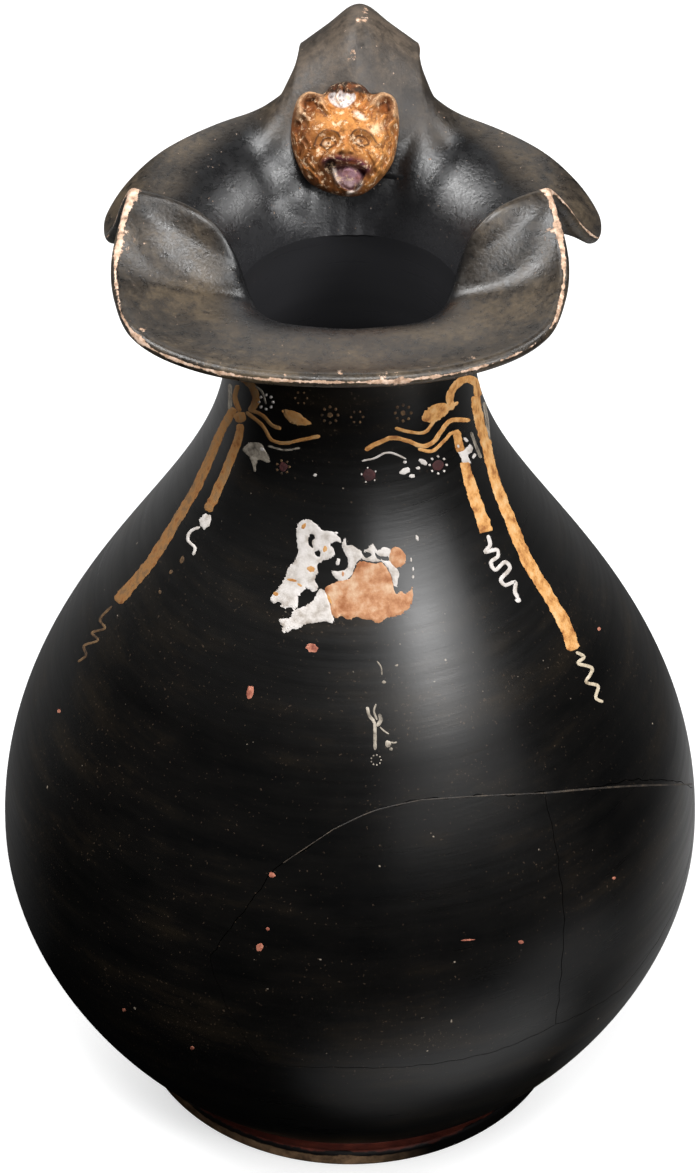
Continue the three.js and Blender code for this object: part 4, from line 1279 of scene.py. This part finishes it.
# Painted shade in the creases of the ears: keys and width of each dark line.
EAR_FOLD_SHADE = [
    ([(-9.2, 6.6), (-9.0, 9.0), (-7.2, 9.4)], 0.4), ([(-7.2, 9.4), (-6.0, 7.2), (-4.2, 5.4)], 0.3),
    ([(7.4, 8.0), (9.2, 8.9), (9.9, 7.0)], 0.35),
]
DARK_LINES = [LEFT_BROW, RIGHT_BROW, LEFT_LID, RIGHT_LID, LEFT_UNDER, RIGHT_UNDER]
FLAKED = [
    (-3.9, 10.2), (-2.6, 11.2), (-1.9, 10.5), (-0.9, 11.4), (0.4, 10.5), (1.9, 10.6), (2.2, 9.0),
    (0.9, 7.7), (-0.6, 7.2), (-2.2, 7.6), (-3.4, 8.7),
]


def paint_face(x, y, masks):
    """Linear colours of the face: each mask blends its own tone over the ochre clay. Some tones are
    painted shade in folds, creases and holes, and some are painted light on the right cheek and ears.
    """
    tone = np.tile(linear("#b3763c"), (*x.shape, 1))

    def lay(mask, code):
        mask = np.clip(mask, 0, 1)[..., None]
        tone[:] = tone * (1 - mask) + np.array(linear(code)) * mask

    for share_of, place, size, turn_deg, code in TONE_LIGHT_AND_SHADE_CLOUDS:
        lay(share_of * bump_at(x, y, place, size, turn_deg), code)
    # Painted shade: darker towards the chin.
    lay(0.6 * ramp(-y, 9.5, 12), "#7b4822")
    # Painted shade in the grooves of the mane, the ears' hollows and their creases, and a painted highlight
    # on the ear rims.
    lay(0.6 * masks["grooves"], "#5a3218")
    lay(0.8 * masks["hollows"], "#8a4c20")
    lay(0.55 * masks["ears"], "#dfb68c")
    lay(0.85 * sum(ridge_along(x, y, keys, width) for keys, width in EAR_FOLD_SHADE), "#2e180c")
    lay(0.95 * sum(ridge_along(x, y - 0.1, keys, 0.27) for keys in DARK_LINES), "#28160b")
    for eye in EYES:
        lay(0.75 * bump_at(x, y, (eye[0] - 0.6, eye[1]), (0.5, 0.45)), "#ecd9bd")
        lay(0.9 * bump_at(x, y, eye, (0.42, 0.42)), "#27150d")
    low = y + FACE_DROP
    # Painted shade in the nostrils.
    lay(0.7 * bump_at(x, low, (-1.3, -2.6), (0.6, 0.4)), "#4a2915")
    lay(0.7 * bump_at(x, low, (1.1, -2.5), (0.6, 0.4)), "#4a2915")
    flaked = patch_within(x, y, FLAKED)
    lay(0.92 * flaked, "#dcd7d5")
    lay(0.8 * disc_at(x, y, (3.2, 5.4), (1.5, 0.7), 0.5, -35), "#ecd6c4")
    hair = ramp(y, 9.9, 11.2) * ramp(-np.abs(x - 0.5), -5.8, -4.4)
    lay(0.95 * hair * (1 - flaked), "#29231d")
    lay(0.97 * ridge_along(x, y, UPPER_LIP, 1.05), "#56273a")
    # Painted shade: the mouth's left corner and the hole beside it are laid near black.
    lay(masks["corner"], "#0f0b0a")
    lay(masks["gape"], "#4c2430")
    lay(bump_at(x, y, (-3.7, -6.3), (1.7, 1.8)), "#120a08")
    lay(0.9 * masks["tongue"], "#a9818c")
    lay(0.7 * masks["tongue"] * bump_at(x, y, (0.4, -10.0), (2.2, 1.5)), "#cfb6b8")
    lay(0.9 * ridge_along(x, y, [(0.6, -11.7), (2.4, -11.0), (3.5, -9.2)], 0.36), "#e6d8cc")
    # Painted shade in the slot below the lip, and two lines down in the slot beside the teeth.
    lay(0.9 * ridge_along(x, y, [(2.2, -10.7), (3.0, -9.8)], 0.32), "#1a0f0c")
    lay(0.85 * masks["teeth"], "#ddd0c4")
    lay(0.9 * disc_at(x, y, (2.6, -10.6), (1.0, 0.35), 0.3, 35), "#1d1210")
    return tone


# %% The head's surface and finish
def make_face_finish():
    """Fired clay with thick ochre paint: matt, grainy, stained brown, and rubbed to pale patches."""
    material, tree, shader, place = start_material("ochre_painted_clay", 0.65)
    tone = put(tree, "Attribute", out="Color", attribute_name="paint")
    # Width of the patches in mm, detail, its roughness, and the range that becomes 0 to a share.
    red, stain, specks, rubbed = (
        put(tree, "MapRange", (
            put(tree, "TexNoise", {
                "Vector": place, "Scale": 1000 / size, "Detail": detail, "Roughness": rough}),
            low, high, 0, most))
        for size, detail, rough, low, high, most in (
            (3.1, 5, 0.6, 0.54, 0.7, 0.45), (1.9, 8, 0.8, 0.51, 0.59, 0.75),
            (0.8, 6, 0.8, 0.52, 0.62, 0.55), (1.7, 6, 0.75, 0.55, 0.61, 0.8),
        )
    )
    dark = put(tree, "Math", (stain, specks), operation="MAXIMUM")
    for share_of, code in ((red, "#b0622c"), (dark, "#54290f"), (rubbed, "#e6c6a2")):
        tone = put(tree, "Mix", {0: share_of, 6: tone, 7: linear(code)}, out=2, data_type="RGBA")
    grain = put(tree, "TexNoise", {
        "Vector": place, "Scale": 1000 / 0.7, "Detail": 5, "Roughness": 0.55})
    plug(tree, shader, {
        "Base Color": tone, "Specular IOR Level": 0.25,
        "Normal": put(tree, "Bump", {"Height": grain, "Strength": 0.5, "Distance": 0.4 * MM}),
    })
    return material


def make_head(rows=200, columns=400):
    """A dome over the outline: across and up are the outline times sin(bend), out is the depth times
    cos(bend), and the relief is added along the face's own axis."""
    bend = np.linspace(0, 2.05, rows)[:, None]
    around = np.arange(columns) / columns
    rim = curve(HEAD_OUTLINE, around, closed=True)
    x = np.sin(bend) * rim[:, 0]
    y = np.sin(bend) * rim[:, 1]
    relief, masks = face_relief(x, y)
    fade = 1 - ramp(bend, 1.25, 1.6)
    out = HEAD_DEPTH * np.cos(bend) + relief * fade
    paint = paint_face(x, y, masks)
    up_axis = np.array([0, math.sin(HEAD_TILT), math.cos(HEAD_TILT)])
    out_axis = np.array([0, -math.cos(HEAD_TILT), math.sin(HEAD_TILT)])
    rings = HEAD_PLACE + x[..., None] * [1, 0, 0] + y[..., None] * up_axis + out[..., None] * out_axis
    points, faces = cap_ends(rings[1:])
    points[-2] = rings[0, 0]
    colours = np.vstack([paint[1:].reshape(-1, 4), paint[0, 0], paint[-1, 0]])
    return make_piece("lion_head_fine", points, outward(points, faces), make_face_finish(),
                      "ochre_clay", ["lion_head"], paint=colours, sharp=80)


make_head()

# %% [markdown]
# ## Painted ornament in slip
#
# A garland hangs round the neck, tied with ribbons at both sides, and below it are the flaked
# remains of a larger motif. Slip stands up from the gloss by a tenth of a millimetre, so each
# colour is a thin piece of its own and not a picture. Strokes are laid along curves with a brush's
# width, and flaked patches are cut from a grid by their outline. Both are drawn in the
# photograph's pixels and carried onto the wall by the camera's rays.

# %% Strokes, dabs and patches in pixels
def stroke(keys, width, taper=0.5):
    """A brush stroke along a curve: across it the height is 1 - s^4, and noise frays its edges.
    A pair of widths goes from one to the other. Gives pixel points, triangles and heights."""
    keys = np.array(keys, float)
    length = np.linalg.norm(np.diff(keys, axis=0), axis=1).sum()
    count = max(6, int(length / 1.6))
    place = np.linspace(0, 1, count)
    run = curve(keys, place, power=0.5)
    along = unit(np.gradient(run, axis=0))
    side = np.stack([-along[:, 1], along[:, 0]], axis=1)
    wide = np.interp(place, [0, 1], np.broadcast_to(width, 2))
    ends = np.minimum(1, np.minimum(place, 1 - place) * length / np.maximum(wide, 1.0) * 2 + taper)
    across = np.array([-1, -0.72, 0, 0.72, 1])
    rough_edge = chance.uniform(-1, 1, (count + 4, 2))
    rough_edge = (rough_edge[:-4] + 2 * rough_edge[1:-3] + 3 * rough_edge[2:-2] + rough_edge[4:]) / 5
    fray = 1 + 0.16 * rough_edge[:, [0, 0, 0, 1, 1]] * (np.abs(across) > 0.1)
    half = (wide / 2 * ends)[:, None] * fray
    pixels = run[:, None] + (across * half)[..., None] * side[:, None]
    height = np.tile(1 - across**4, (count, 1))
    height[[0, -1]] = 0
    quads = grid_faces(count, 5, around=False)
    return pixels.reshape(-1, 2), halved(quads), height.ravel()


def dab(centre, size, turn_deg=0.0, around=14, ragged=0.16):
    """A small blob: rings of an ellipse with a ragged outline, highest in the middle."""
    angle = np.linspace(0, 2 * math.pi, around, endpoint=False)
    edge = 1 + ragged * chance.uniform(-1, 1, around)
    tilt = math.radians(turn_deg)
    shares = np.array([0.35, 0.8, 1.0])[:, None]
    along = shares * edge * np.cos(angle) * size[0]
    over = shares * edge * np.sin(angle) * size[1]
    rings = np.stack([
        centre[0] + along * math.cos(tilt) - over * math.sin(tilt),
        centre[1] + along * math.sin(tilt) + over * math.cos(tilt),
    ], axis=-1)
    pixels = np.vstack([rings.reshape(-1, 2), centre])
    quads = grid_faces(3, around)
    step = np.arange(around)
    middle = np.stack([np.full(around, 3 * around), step, (step + 1) % around], axis=1)
    height = np.concatenate([np.ones(around), np.full(around, 0.9), np.zeros(around), [1]])
    return pixels, np.vstack([halved(quads), middle]), height


# %% Flaked patches
def flake(outline_pixels, holes=(), step=1.5, ragged=0.5):
    """A flaked patch: a grid whose points near the outline are moved onto it, kept inside the
    outline and outside its holes."""
    lines = []
    for keys in (outline_pixels, *holes):
        keys = np.array(keys, float)
        count = int(np.linalg.norm(np.roll(keys, -1, axis=0) - keys, axis=1).sum() / 1.1)
        line = curve(keys, np.arange(count) / count, closed=True)
        lines.append(line + chance.uniform(-ragged, ragged, line.shape))
    low, high = lines[0].min(0) - 2 * step, lines[0].max(0) + 2 * step
    columns, rows = ((high - low) / step).astype(int) + 1
    grid = np.stack(np.meshgrid(
        low[0] + np.arange(columns) * step, low[1] + np.arange(rows) * step), axis=-1).reshape(-1, 2)
    away = np.full(len(grid), 99.0)
    for line in lines:
        on_line, distance, _ = nearest_on(line, grid)
        closer = (distance < away) & (distance < step * 0.52)
        grid[closer] = on_line[closer]
        away = np.minimum(away, distance)
    faces = halved(grid_faces(rows, columns, around=False))
    middle = grid[faces].mean(1)
    kept = inside(lines[0], middle)
    for line in lines[1:]:
        kept &= ~inside(line, middle)
    return grid, faces[kept], ramp(away, 0.2, 1.6)


# %% From pixels to a thin piece on the wall
SLIP_SUNK = 0.06


def lay_slip(name, parts, finish, slot, thickness=0.13, lift=0.02):
    """All parts of one colour as one thin piece on the wall: tops, undersides inside the gloss, and
    the strips that close them."""
    pixels = np.vstack([part[0] for part in parts])
    starts = np.cumsum([0] + [len(part[0]) for part in parts[:-1]])
    faces = np.vstack([part[1] + start for part, start in zip(parts, starts)])
    height = np.concatenate([part[2] for part in parts])
    azimuth, level = on_wall(pixels)
    top = wall_point(azimuth, level, lift + thickness * height)
    under = wall_point(azimuth, level, np.full(len(pixels), -SLIP_SUNK))
    a, b, c = (pixels[faces[:, corner]] for corner in range(3))
    turns_right = np.cross(b - a, c - a) > 0
    faces[turns_right] = faces[turns_right][:, ::-1]
    points, solid, _ = thicken(top, under, faces)
    return make_piece(name, points, solid, finish, slot, sharp=60)


# %% Ribbons and knots in ochre
RIBBON_LEFT = [
    (234, 408), (222, 430), (214, 448), (198, 484), (177, 520), (152, 560), (136, 580), (117, 602),
]
RIBBON_LEFT_INNER = [(241, 424), (238, 440), (230, 460), (222, 480), (213, 500), (207, 511)]
RIBBON_RIGHT = [
    (475, 396), (479, 420), (485, 440), (495, 480), (510, 520), (527, 560), (551, 600), (566, 628),
    (574, 650),
]
RIBBON_RIGHT_INNER = [(464, 462), (469, 480), (475, 500), (483, 520), (486, 532)]
ribbons = [
    stroke(RIBBON_LEFT, (8, 11.5)), stroke(RIBBON_LEFT_INNER, (8, 9.5)), stroke(RIBBON_RIGHT, (9, 13.5)),
    stroke(RIBBON_RIGHT_INNER, (9.5, 14), 0.9), stroke([(456, 430), (459, 444), (461, 452)], 8),
    stroke([(231, 375), (243, 378), (253, 388), (256, 400), (250, 412)], 7.5),
    stroke([(240, 412), (235, 398), (238, 385)], 5), dab((240, 417), (6.5, 5.5)),
    stroke([(451, 410), (450, 396), (456, 385), (466, 379), (476, 383), (478, 397)], 7.5),
]
lay_slip("ribbon_slip", ribbons, ochre_slip, "ochre_clay")

# %% The garland's stems and leaves
stems = [
    stroke([(250, 410), (262, 415), (272, 425), (281, 429)], 3.6),
    stroke([(246, 412), (262, 425), (272, 440), (285, 443), (300, 440), (320, 436)], 3.6),
    stroke([(365, 450), (378, 443), (392, 438), (408, 441), (422, 446), (432, 443), (442, 430),
            (450, 421), (470, 420)], 4.4),
    stroke([(418, 449), (432, 451), (445, 440), (452, 433), (458, 434)], 3.4),
    stroke([(395, 428), (410, 432), (425, 432), (435, 420), (447, 410), (458, 402)], 3.4),
    flake([(282, 410), (290, 422), (300, 425), (312, 424), (305, 418), (297, 412)]),
    flake([(422, 420), (427, 409), (440, 403), (450, 406), (446, 415), (434, 422)]),
]
lay_slip("garland_slip", stems, ochre_slip, "ochre_clay", 0.1)
worn_leaf = [flake([(243, 450), (250, 443), (262, 445), (270, 462), (258, 460), (255, 472), (250, 458)])]
worn_strips = [
    stroke([(230, 384), (230, 410)], 4), stroke([(484, 402), (487, 420), (489, 444)], 3.4),
    stroke([(471, 432), (476, 446), (481, 458)], 3),
    stroke([(252, 384), (262, 392), (266, 404)], 2), stroke([(300, 448), (284, 450), (268, 446)], 2),
]
lay_slip("worn_leaf_slip", worn_leaf + worn_strips, grey_slip, "ochre_clay", 0.08)

# %% Rosettes, dots and wavy tails
def dot_ring(centre, radius, count, size, start=0.0):
    """Small dabs spaced evenly round a circle."""
    angles = start + np.arange(count) / count * 2 * math.pi
    return [
        dab((centre[0] + radius * math.cos(angle), centre[1] + radius * math.sin(angle)),
            (size, size), around=8)
        for angle in angles
    ]


pale_dots = [
    *dot_ring((266, 402), 7, 8, 1.5), *dot_ring((438, 465), 8.5, 8, 1.3),
    *dot_ring((369, 475), 7.5, 5, 1.0, 2.0),
]
dim_dots = [
    *dot_ring((330, 415), 8, 8, 1.6), dab((330, 415), (2.6, 2.6)),
    *dot_ring((403, 413), 8, 8, 1.6), dab((403, 413), (2.6, 2.6)),
    *dot_ring((357, 417), 6, 6, 1.3), *dot_ring((283, 467), 6.5, 7, 1.3),
    *dot_ring((301, 398), 6, 6, 1.2),
]
white_tail = [
    (488, 535), (490, 545), (485, 552), (497, 550), (498, 556), (491, 562), (495, 570), (505, 562),
    (510, 568), (501, 580), (505, 585), (515, 582), (515, 592), (518, 598),
]
whites = [
    stroke(white_tail, 3.8), dab((518, 600), (3, 2.4)),
    stroke([(200, 527), (190, 532), (188, 540), (195, 548), (193, 555)], 3), dab((205, 521), (5.5, 8), 15),
    stroke([(362, 461), (375, 458), (385, 453), (392, 453), (406, 459)], 2),
    dab((405, 471), (6, 3), -20), dab((412, 476), (3, 2)), dab((423, 462), (4.6, 2.6), 30),
    dab((405, 462), (2, 1.6)), dab((315, 475), (2, 1.6)), dab((418, 468), (2.4, 1.6)),
    dab((262, 449), (2.6, 1.8), 20),
    flake([(458, 452), (464, 450), (470, 444), (473, 450), (468, 456), (471, 462), (463, 463), (461, 458)]),
    dab((466, 440), (3, 1.6), 50), dab((474, 456), (1.6, 3), 20), dab((458, 446), (1.4, 2)),
]
lay_slip("white_tail_slip", whites + pale_dots, white_slip, "ochre_clay")
dims = [
    stroke([(112, 606), (100, 620), (105, 628), (92, 633), (98, 640), (84, 646), (86, 655), (78, 662)],
           2.4),
    dab((182, 560), (2, 4), 20), dab((171, 572), (1.6, 2.4), 40), dab((160, 592), (1.4, 2)),
]
lay_slip("worn_tail_slip", dims + dim_dots, dim_slip, "ochre_clay", 0.06)
right_tail = [
    stroke([(576, 652), (584, 657), (578, 663), (592, 668), (590, 675), (586, 682), (598, 686),
            (596, 698), (603, 702)], 3.2),
]
lay_slip("right_tail_slip", right_tail, tail_slip, "ochre_clay", 0.09)
reds = [dab((438, 465), (5.6, 5.6)), dab((283, 467), (4.6, 4.6)), dab((369, 475), (6.4, 6.4))]
lay_slip("rosette_red_slip", reds, red_slip, "foot_slip", 0.08)

# %% [markdown]
# ### The flaked motif
#
# Below the garland a large motif in white and a flesh-coloured ochre has flaked down to a few
# islands. They are laid as what they are now: ragged patches of slip with holes to the black.

# %% The flaked motif
LEFT_ISLAND = [
    (307, 519), (301, 521), (297, 527), (297, 539), (298, 551), (295, 560), (288, 568), (285, 578),
    (278, 588), (271, 598), (273, 603), (280, 602), (284, 608), (291, 607), (294, 610), (298, 606),
    (298, 598), (303, 591), (308, 589), (314, 592), (318, 587), (315, 580), (318, 572), (317, 566),
    (322, 561), (330, 559), (335, 554), (333, 548), (330, 545), (336, 541), (341, 543), (340, 538),
    (334, 532), (330, 531), (322, 530), (317, 525), (312, 521),
]
LEFT_HOLE = [(309, 536), (312, 534), (315, 538), (312, 541), (313, 548), (309, 545), (308, 540)]
SMALL_HOLE = [(315, 552), (319, 550), (320, 556), (317, 557)]
LOWER_ISLAND = [
    (320, 589), (316, 595), (311, 603), (304, 606), (298, 609), (292, 612), (291, 617), (284, 619),
    (279, 619), (280, 623), (283, 627), (282, 631), (286, 633), (292, 629), (298, 629), (304, 624),
    (315, 623), (325, 621), (331, 623), (334, 620), (332, 613), (330, 604), (328, 597), (325, 591),
]
NARROW_ISLAND = [
    (342, 545), (345, 538), (347, 545), (352, 545), (358, 549), (362, 552), (362, 558), (357, 562),
    (354, 569), (351, 576), (345, 580), (337, 580), (332, 573), (333, 571), (341, 571), (347, 568),
    (348, 560), (345, 553),
]
UPPER_ISLAND = [
    (363, 552), (368, 548), (373, 544), (377, 550), (384, 547), (391, 550), (390, 557), (393, 565),
    (397, 569), (399, 573), (398, 581), (396, 587), (393, 583), (391, 574), (386, 566), (381, 561),
    (374, 562), (368, 561), (362, 559),
]
UPPER_HOLE = [(363, 553), (368, 552), (372, 555), (366, 558)]
SECOND_HOLE = [(375, 553), (380, 556), (388, 557), (389, 561), (382, 560), (377, 558)]
OCHRE_ISLAND = [
    (359, 562), (366, 562), (375, 564), (381, 562), (386, 567), (391, 576), (393, 585), (396, 594),
    (401, 591), (405, 594), (410, 591), (412, 586), (413, 595), (410, 606), (403, 613), (396, 616),
    (386, 618), (382, 622), (377, 623), (371, 620), (364, 619), (356, 617), (348, 619), (341, 616),
    (336, 618), (331, 613), (330, 604), (328, 597), (325, 592), (326, 587), (332, 584), (339, 581),
    (346, 580), (351, 577), (355, 569),
]
OCHRE_DISC = [
    (396, 547), (402, 550), (406, 557), (404, 564), (397, 568), (391, 564), (389, 557), (391, 550),
]
white_motif = [
    flake(LEFT_ISLAND, [LEFT_HOLE, SMALL_HOLE]), flake(LOWER_ISLAND), flake(NARROW_ISLAND),
    flake(UPPER_ISLAND, [UPPER_HOLE, SECOND_HOLE]),
    dab((338, 562), (2, 4), 10), dab((336, 533), (2, 1.4)), dab((282, 606), (2, 1.3)),
    dab((417, 538), (1.6, 3), -20), dab((411, 560), (1, 2.2)), dab((413, 569), (1, 2)),
    dab((413, 577), (1.2, 1.8)),
]
lay_slip("motif_white_slip", white_motif, white_slip, "ochre_clay", 0.15)
ochre_motif = [flake(OCHRE_ISLAND), flake(OCHRE_DISC), dab((343, 574), (1.6, 3))]
lay_slip("motif_flesh_slip", ochre_motif, flesh_slip, "ochre_clay", 0.17, 0.03)

# %% Stains, a hanging scrap, chips and the filled cracks
stains = [
    dab((325, 549), (2.2, 3.4), 15), dab((311, 569), (4.2, 3.4), 20), dab((304, 526), (2, 3.4), 30),
    dab((292, 580), (5, 1.6), 10), dab((276, 594), (2.6, 2.2)), dab((331, 597), (3.2, 9), -18),
    dab((300, 585), (3, 1.2), 30), dab((366, 590), (14, 2.6), 52), dab((384, 592), (15, 2), 50),
    dab((345, 612), (5, 3), 30), dab((352, 583), (7, 3), -20),
]
lay_slip("motif_stain_slip", stains, ochre_slip, "ochre_clay", 0.03, 0.16)
hanging = [
    stroke([(367, 707), (369, 715), (374, 722), (375, 735), (375, 750)], 3.2),
    stroke([(376, 704), (374, 711), (377, 720)], 2), stroke([(379, 714), (381, 720), (377, 726)], 4),
    stroke([(377, 661), (381, 667), (382, 675)], 1.5), dab((384, 682), (2, 1.6)),
    stroke([(380, 727), (384, 731), (389, 734)], 1.5), dab((388, 744), (3, 3.4)),
    stroke([(391, 742), (394, 743), (397, 742)], 1.6), dab((391, 749), (1.8, 1.6)),
    *dot_ring((376, 760), 5, 9, 0.9),
]
lay_slip("hanging_scrap_slip", hanging, grey_slip, "ochre_clay", 0.08)
chips = [
    dab((272, 875), (3.6, 2.6), 30), dab((260, 947), (3.4, 4.4), 20), dab((268, 929), (2, 1.6)),
    dab((521, 942), (2.6, 1.8)), dab((468, 940), (6.5, 0.9), -3), dab((614, 878), (1.8, 1.4)),
    dab((124, 1010), (1.8, 1.6)), dab((192, 1048), (2.4, 1.8)), dab((59, 711), (1.6, 2)),
    dab((599, 629), (1.6, 1.8)), dab((250, 692), (3.4, 6.6), 10), dab((312, 648), (6, 4.4), 20),
]
lay_slip("glaze_chips", chips, chip_clay, "ochre_clay", 0.04)
CRACK_FILL = [
    ([(694, 784), (630, 786), (588, 789), (544, 793)], 1.8), ([(544, 793), (480, 796), (420, 800)], 1.2),
    ([(420, 800), (374, 811), (334, 829)], 1.1), ([(334, 829), (310, 845), (283, 863)], 0.8),
]
fills = [stroke(keys, width) for keys, width in CRACK_FILL]
lay_slip("crack_fill", fills, scar_fill, "black_glaze", 0.03, 0.01)

# %% [markdown]
# ## Light, floor and background
#
# The highlights tell where the lamps stood: a small key lamp at the front right with a wide, weak
# one under it, one high on each side, one high in front, and a wide one behind. Only the camera
# sees the floor and the world as white, because a bright world all round would be mirrored in the
# gloss and turn the black to grey. In the gloss the floor is dark, painted paler towards the back,
# and carries painted pools of light round the jug, most of them at its right, which give it its
# pale rims. To the camera the floor keeps its shadow.

# %% Floor and world
# Painted pools of light on the floor, seen only in the gloss: metres to the right and back, reach
# in metres, and strength.
FLOOR_LIGHT_POOLS = [
    (0.15, 0.05, 0.13, 0.6), (0.085, -0.125, 0.07, 1.6), (0.2, -0.13, 0.1, 0.9),
    (0.025, -0.13, 0.06, 0.9), (-0.16, 0.08, 0.1, 0.12),
]
FLOOR_HALF = 3000.0
FLOOR_LEVEL = -0.2


def make_floor():
    """A pale floor that looks white to the camera and stays dim in the gloss, where it is painted paler
    towards the back and carries painted pools of light. The brightness of a pool falls evenly from
    its middle to nothing at its reach."""
    material = bpy.data.materials.new("floor_paper")
    material.use_nodes = True
    tree = material.node_tree
    tree.nodes.clear()
    seen = put(tree, "AddShader", (
        put(tree, "BsdfDiffuse", {"Color": linear("#b9b9b9")}),
        put(tree, "Emission", {"Color": linear("#ffffff"), "Strength": 0.62}),
    ))
    place = put(tree, "TexCoord", out="Object")
    across, back = (put(tree, "SeparateXYZ", (place,), out=axis) for axis in (0, 1))
    # Painted light: in the gloss the floor grows paler towards the back, and each pool adds its light.
    by_side = put(tree, "MapRange", (across, -0.1, 0.1, 0.24, 0.14))
    paler_behind = put(tree, "MapRange", (back, 0.02, 0.3))
    bright = put(tree, "Math", (paler_behind, by_side), operation="MULTIPLY")
    for x, y, reach, strength in FLOOR_LIGHT_POOLS:
        moved = put(tree, "Mapping", {
            "Vector": place, "Location": (-x / reach, -y / reach, 0), "Scale": (1 / reach,) * 3,
        })
        ball = put(tree, "TexGradient", (moved,), out=1, gradient_type="SPHERICAL")
        bright = put(tree, "Math", (ball, strength, bright), operation="MULTIPLY_ADD")
    grey = put(tree, "Mix", {0: bright, 6: linear("#0a0a0a"), 7: linear("#f0f0f0")},
               out=2, data_type="RGBA")
    unseen = put(tree, "BsdfDiffuse", {"Color": grey})
    to_camera = put(tree, "LightPath", out="Is Camera Ray")
    put(tree, "OutputMaterial", (put(tree, "MixShader", (to_camera, unseen, seen)),))
    corners = np.array([(x * FLOOR_HALF, y * FLOOR_HALF, FLOOR_LEVEL)
                        for x, y in ((-1, -1), (1, -1), (1, 1), (-1, 1))])
    mesh = bpy.data.meshes.new("floor")
    mesh.from_pydata((corners * MM).tolist(), [], [(0, 1, 2, 3)])
    mesh.materials.append(material)
    floor = bpy.data.objects.new("floor", mesh)
    scene.collection.objects.link(floor)


def make_world():
    """White to the camera, and a dim even grey to everything else."""
    world = bpy.data.worlds.new("studio")
    world.use_nodes = True
    tree = world.node_tree
    tree.nodes.clear()
    dim, white = (
        put(tree, "Background", {"Color": linear("#ffffff"), "Strength": strength})
        for strength in (0.06, 1.0))
    to_camera = put(tree, "LightPath", out="Is Camera Ray")
    put(tree, "OutputWorld", (put(tree, "MixShader", (to_camera, dim, white)),))
    scene.world = world


make_floor()
make_world()


# %% Lamps
# Azimuth from the front and height in degrees, distance and size in metres, and watts.
LAMPS = {
    "key_softbox": (42, 31, 1.6, (0.42, 0.17), 11),
    "wide_softbox": (40, 18, 1.9, (1.7, 0.4), 8),
    "right_side_softbox": (94, 52, 1.5, (0.6, 0.5), 9),
    "front_top_softbox": (5, 57, 1.5, (0.4, 0.3), 13),
    "left_top_softbox": (-90, 61, 1.5, (0.5, 0.7), 19),
    "back_softbox": (180, 36, 2.0, (1.8, 1.3), 8),
}
JUG_MIDDLE = np.array([0, 0, 0.13])


def add_lamp(name, azimuth_deg, height_deg, distance, size, watts):
    """A rectangular area lamp that looks at the jug's middle from an azimuth and a height."""
    azimuth, up = math.radians(azimuth_deg), math.radians(height_deg)
    towards = np.array([
        math.sin(azimuth) * math.cos(up), -math.cos(azimuth) * math.cos(up), math.sin(up)])
    data = bpy.data.lights.new(name, "AREA")
    data.shape = "RECTANGLE"
    data.size, data.size_y = size
    data.energy = watts
    lamp = bpy.data.objects.new(name, data)
    lamp.location = JUG_MIDDLE + towards * distance
    lamp.rotation_euler = (math.pi / 2 - up, 0, azimuth)
    scene.collection.objects.link(lamp)


for name, setting in LAMPS.items():
    add_lamp(name, *setting)
scene.view_settings.view_transform = "Standard"
print("lamps:", [light.name for light in bpy.data.lights])
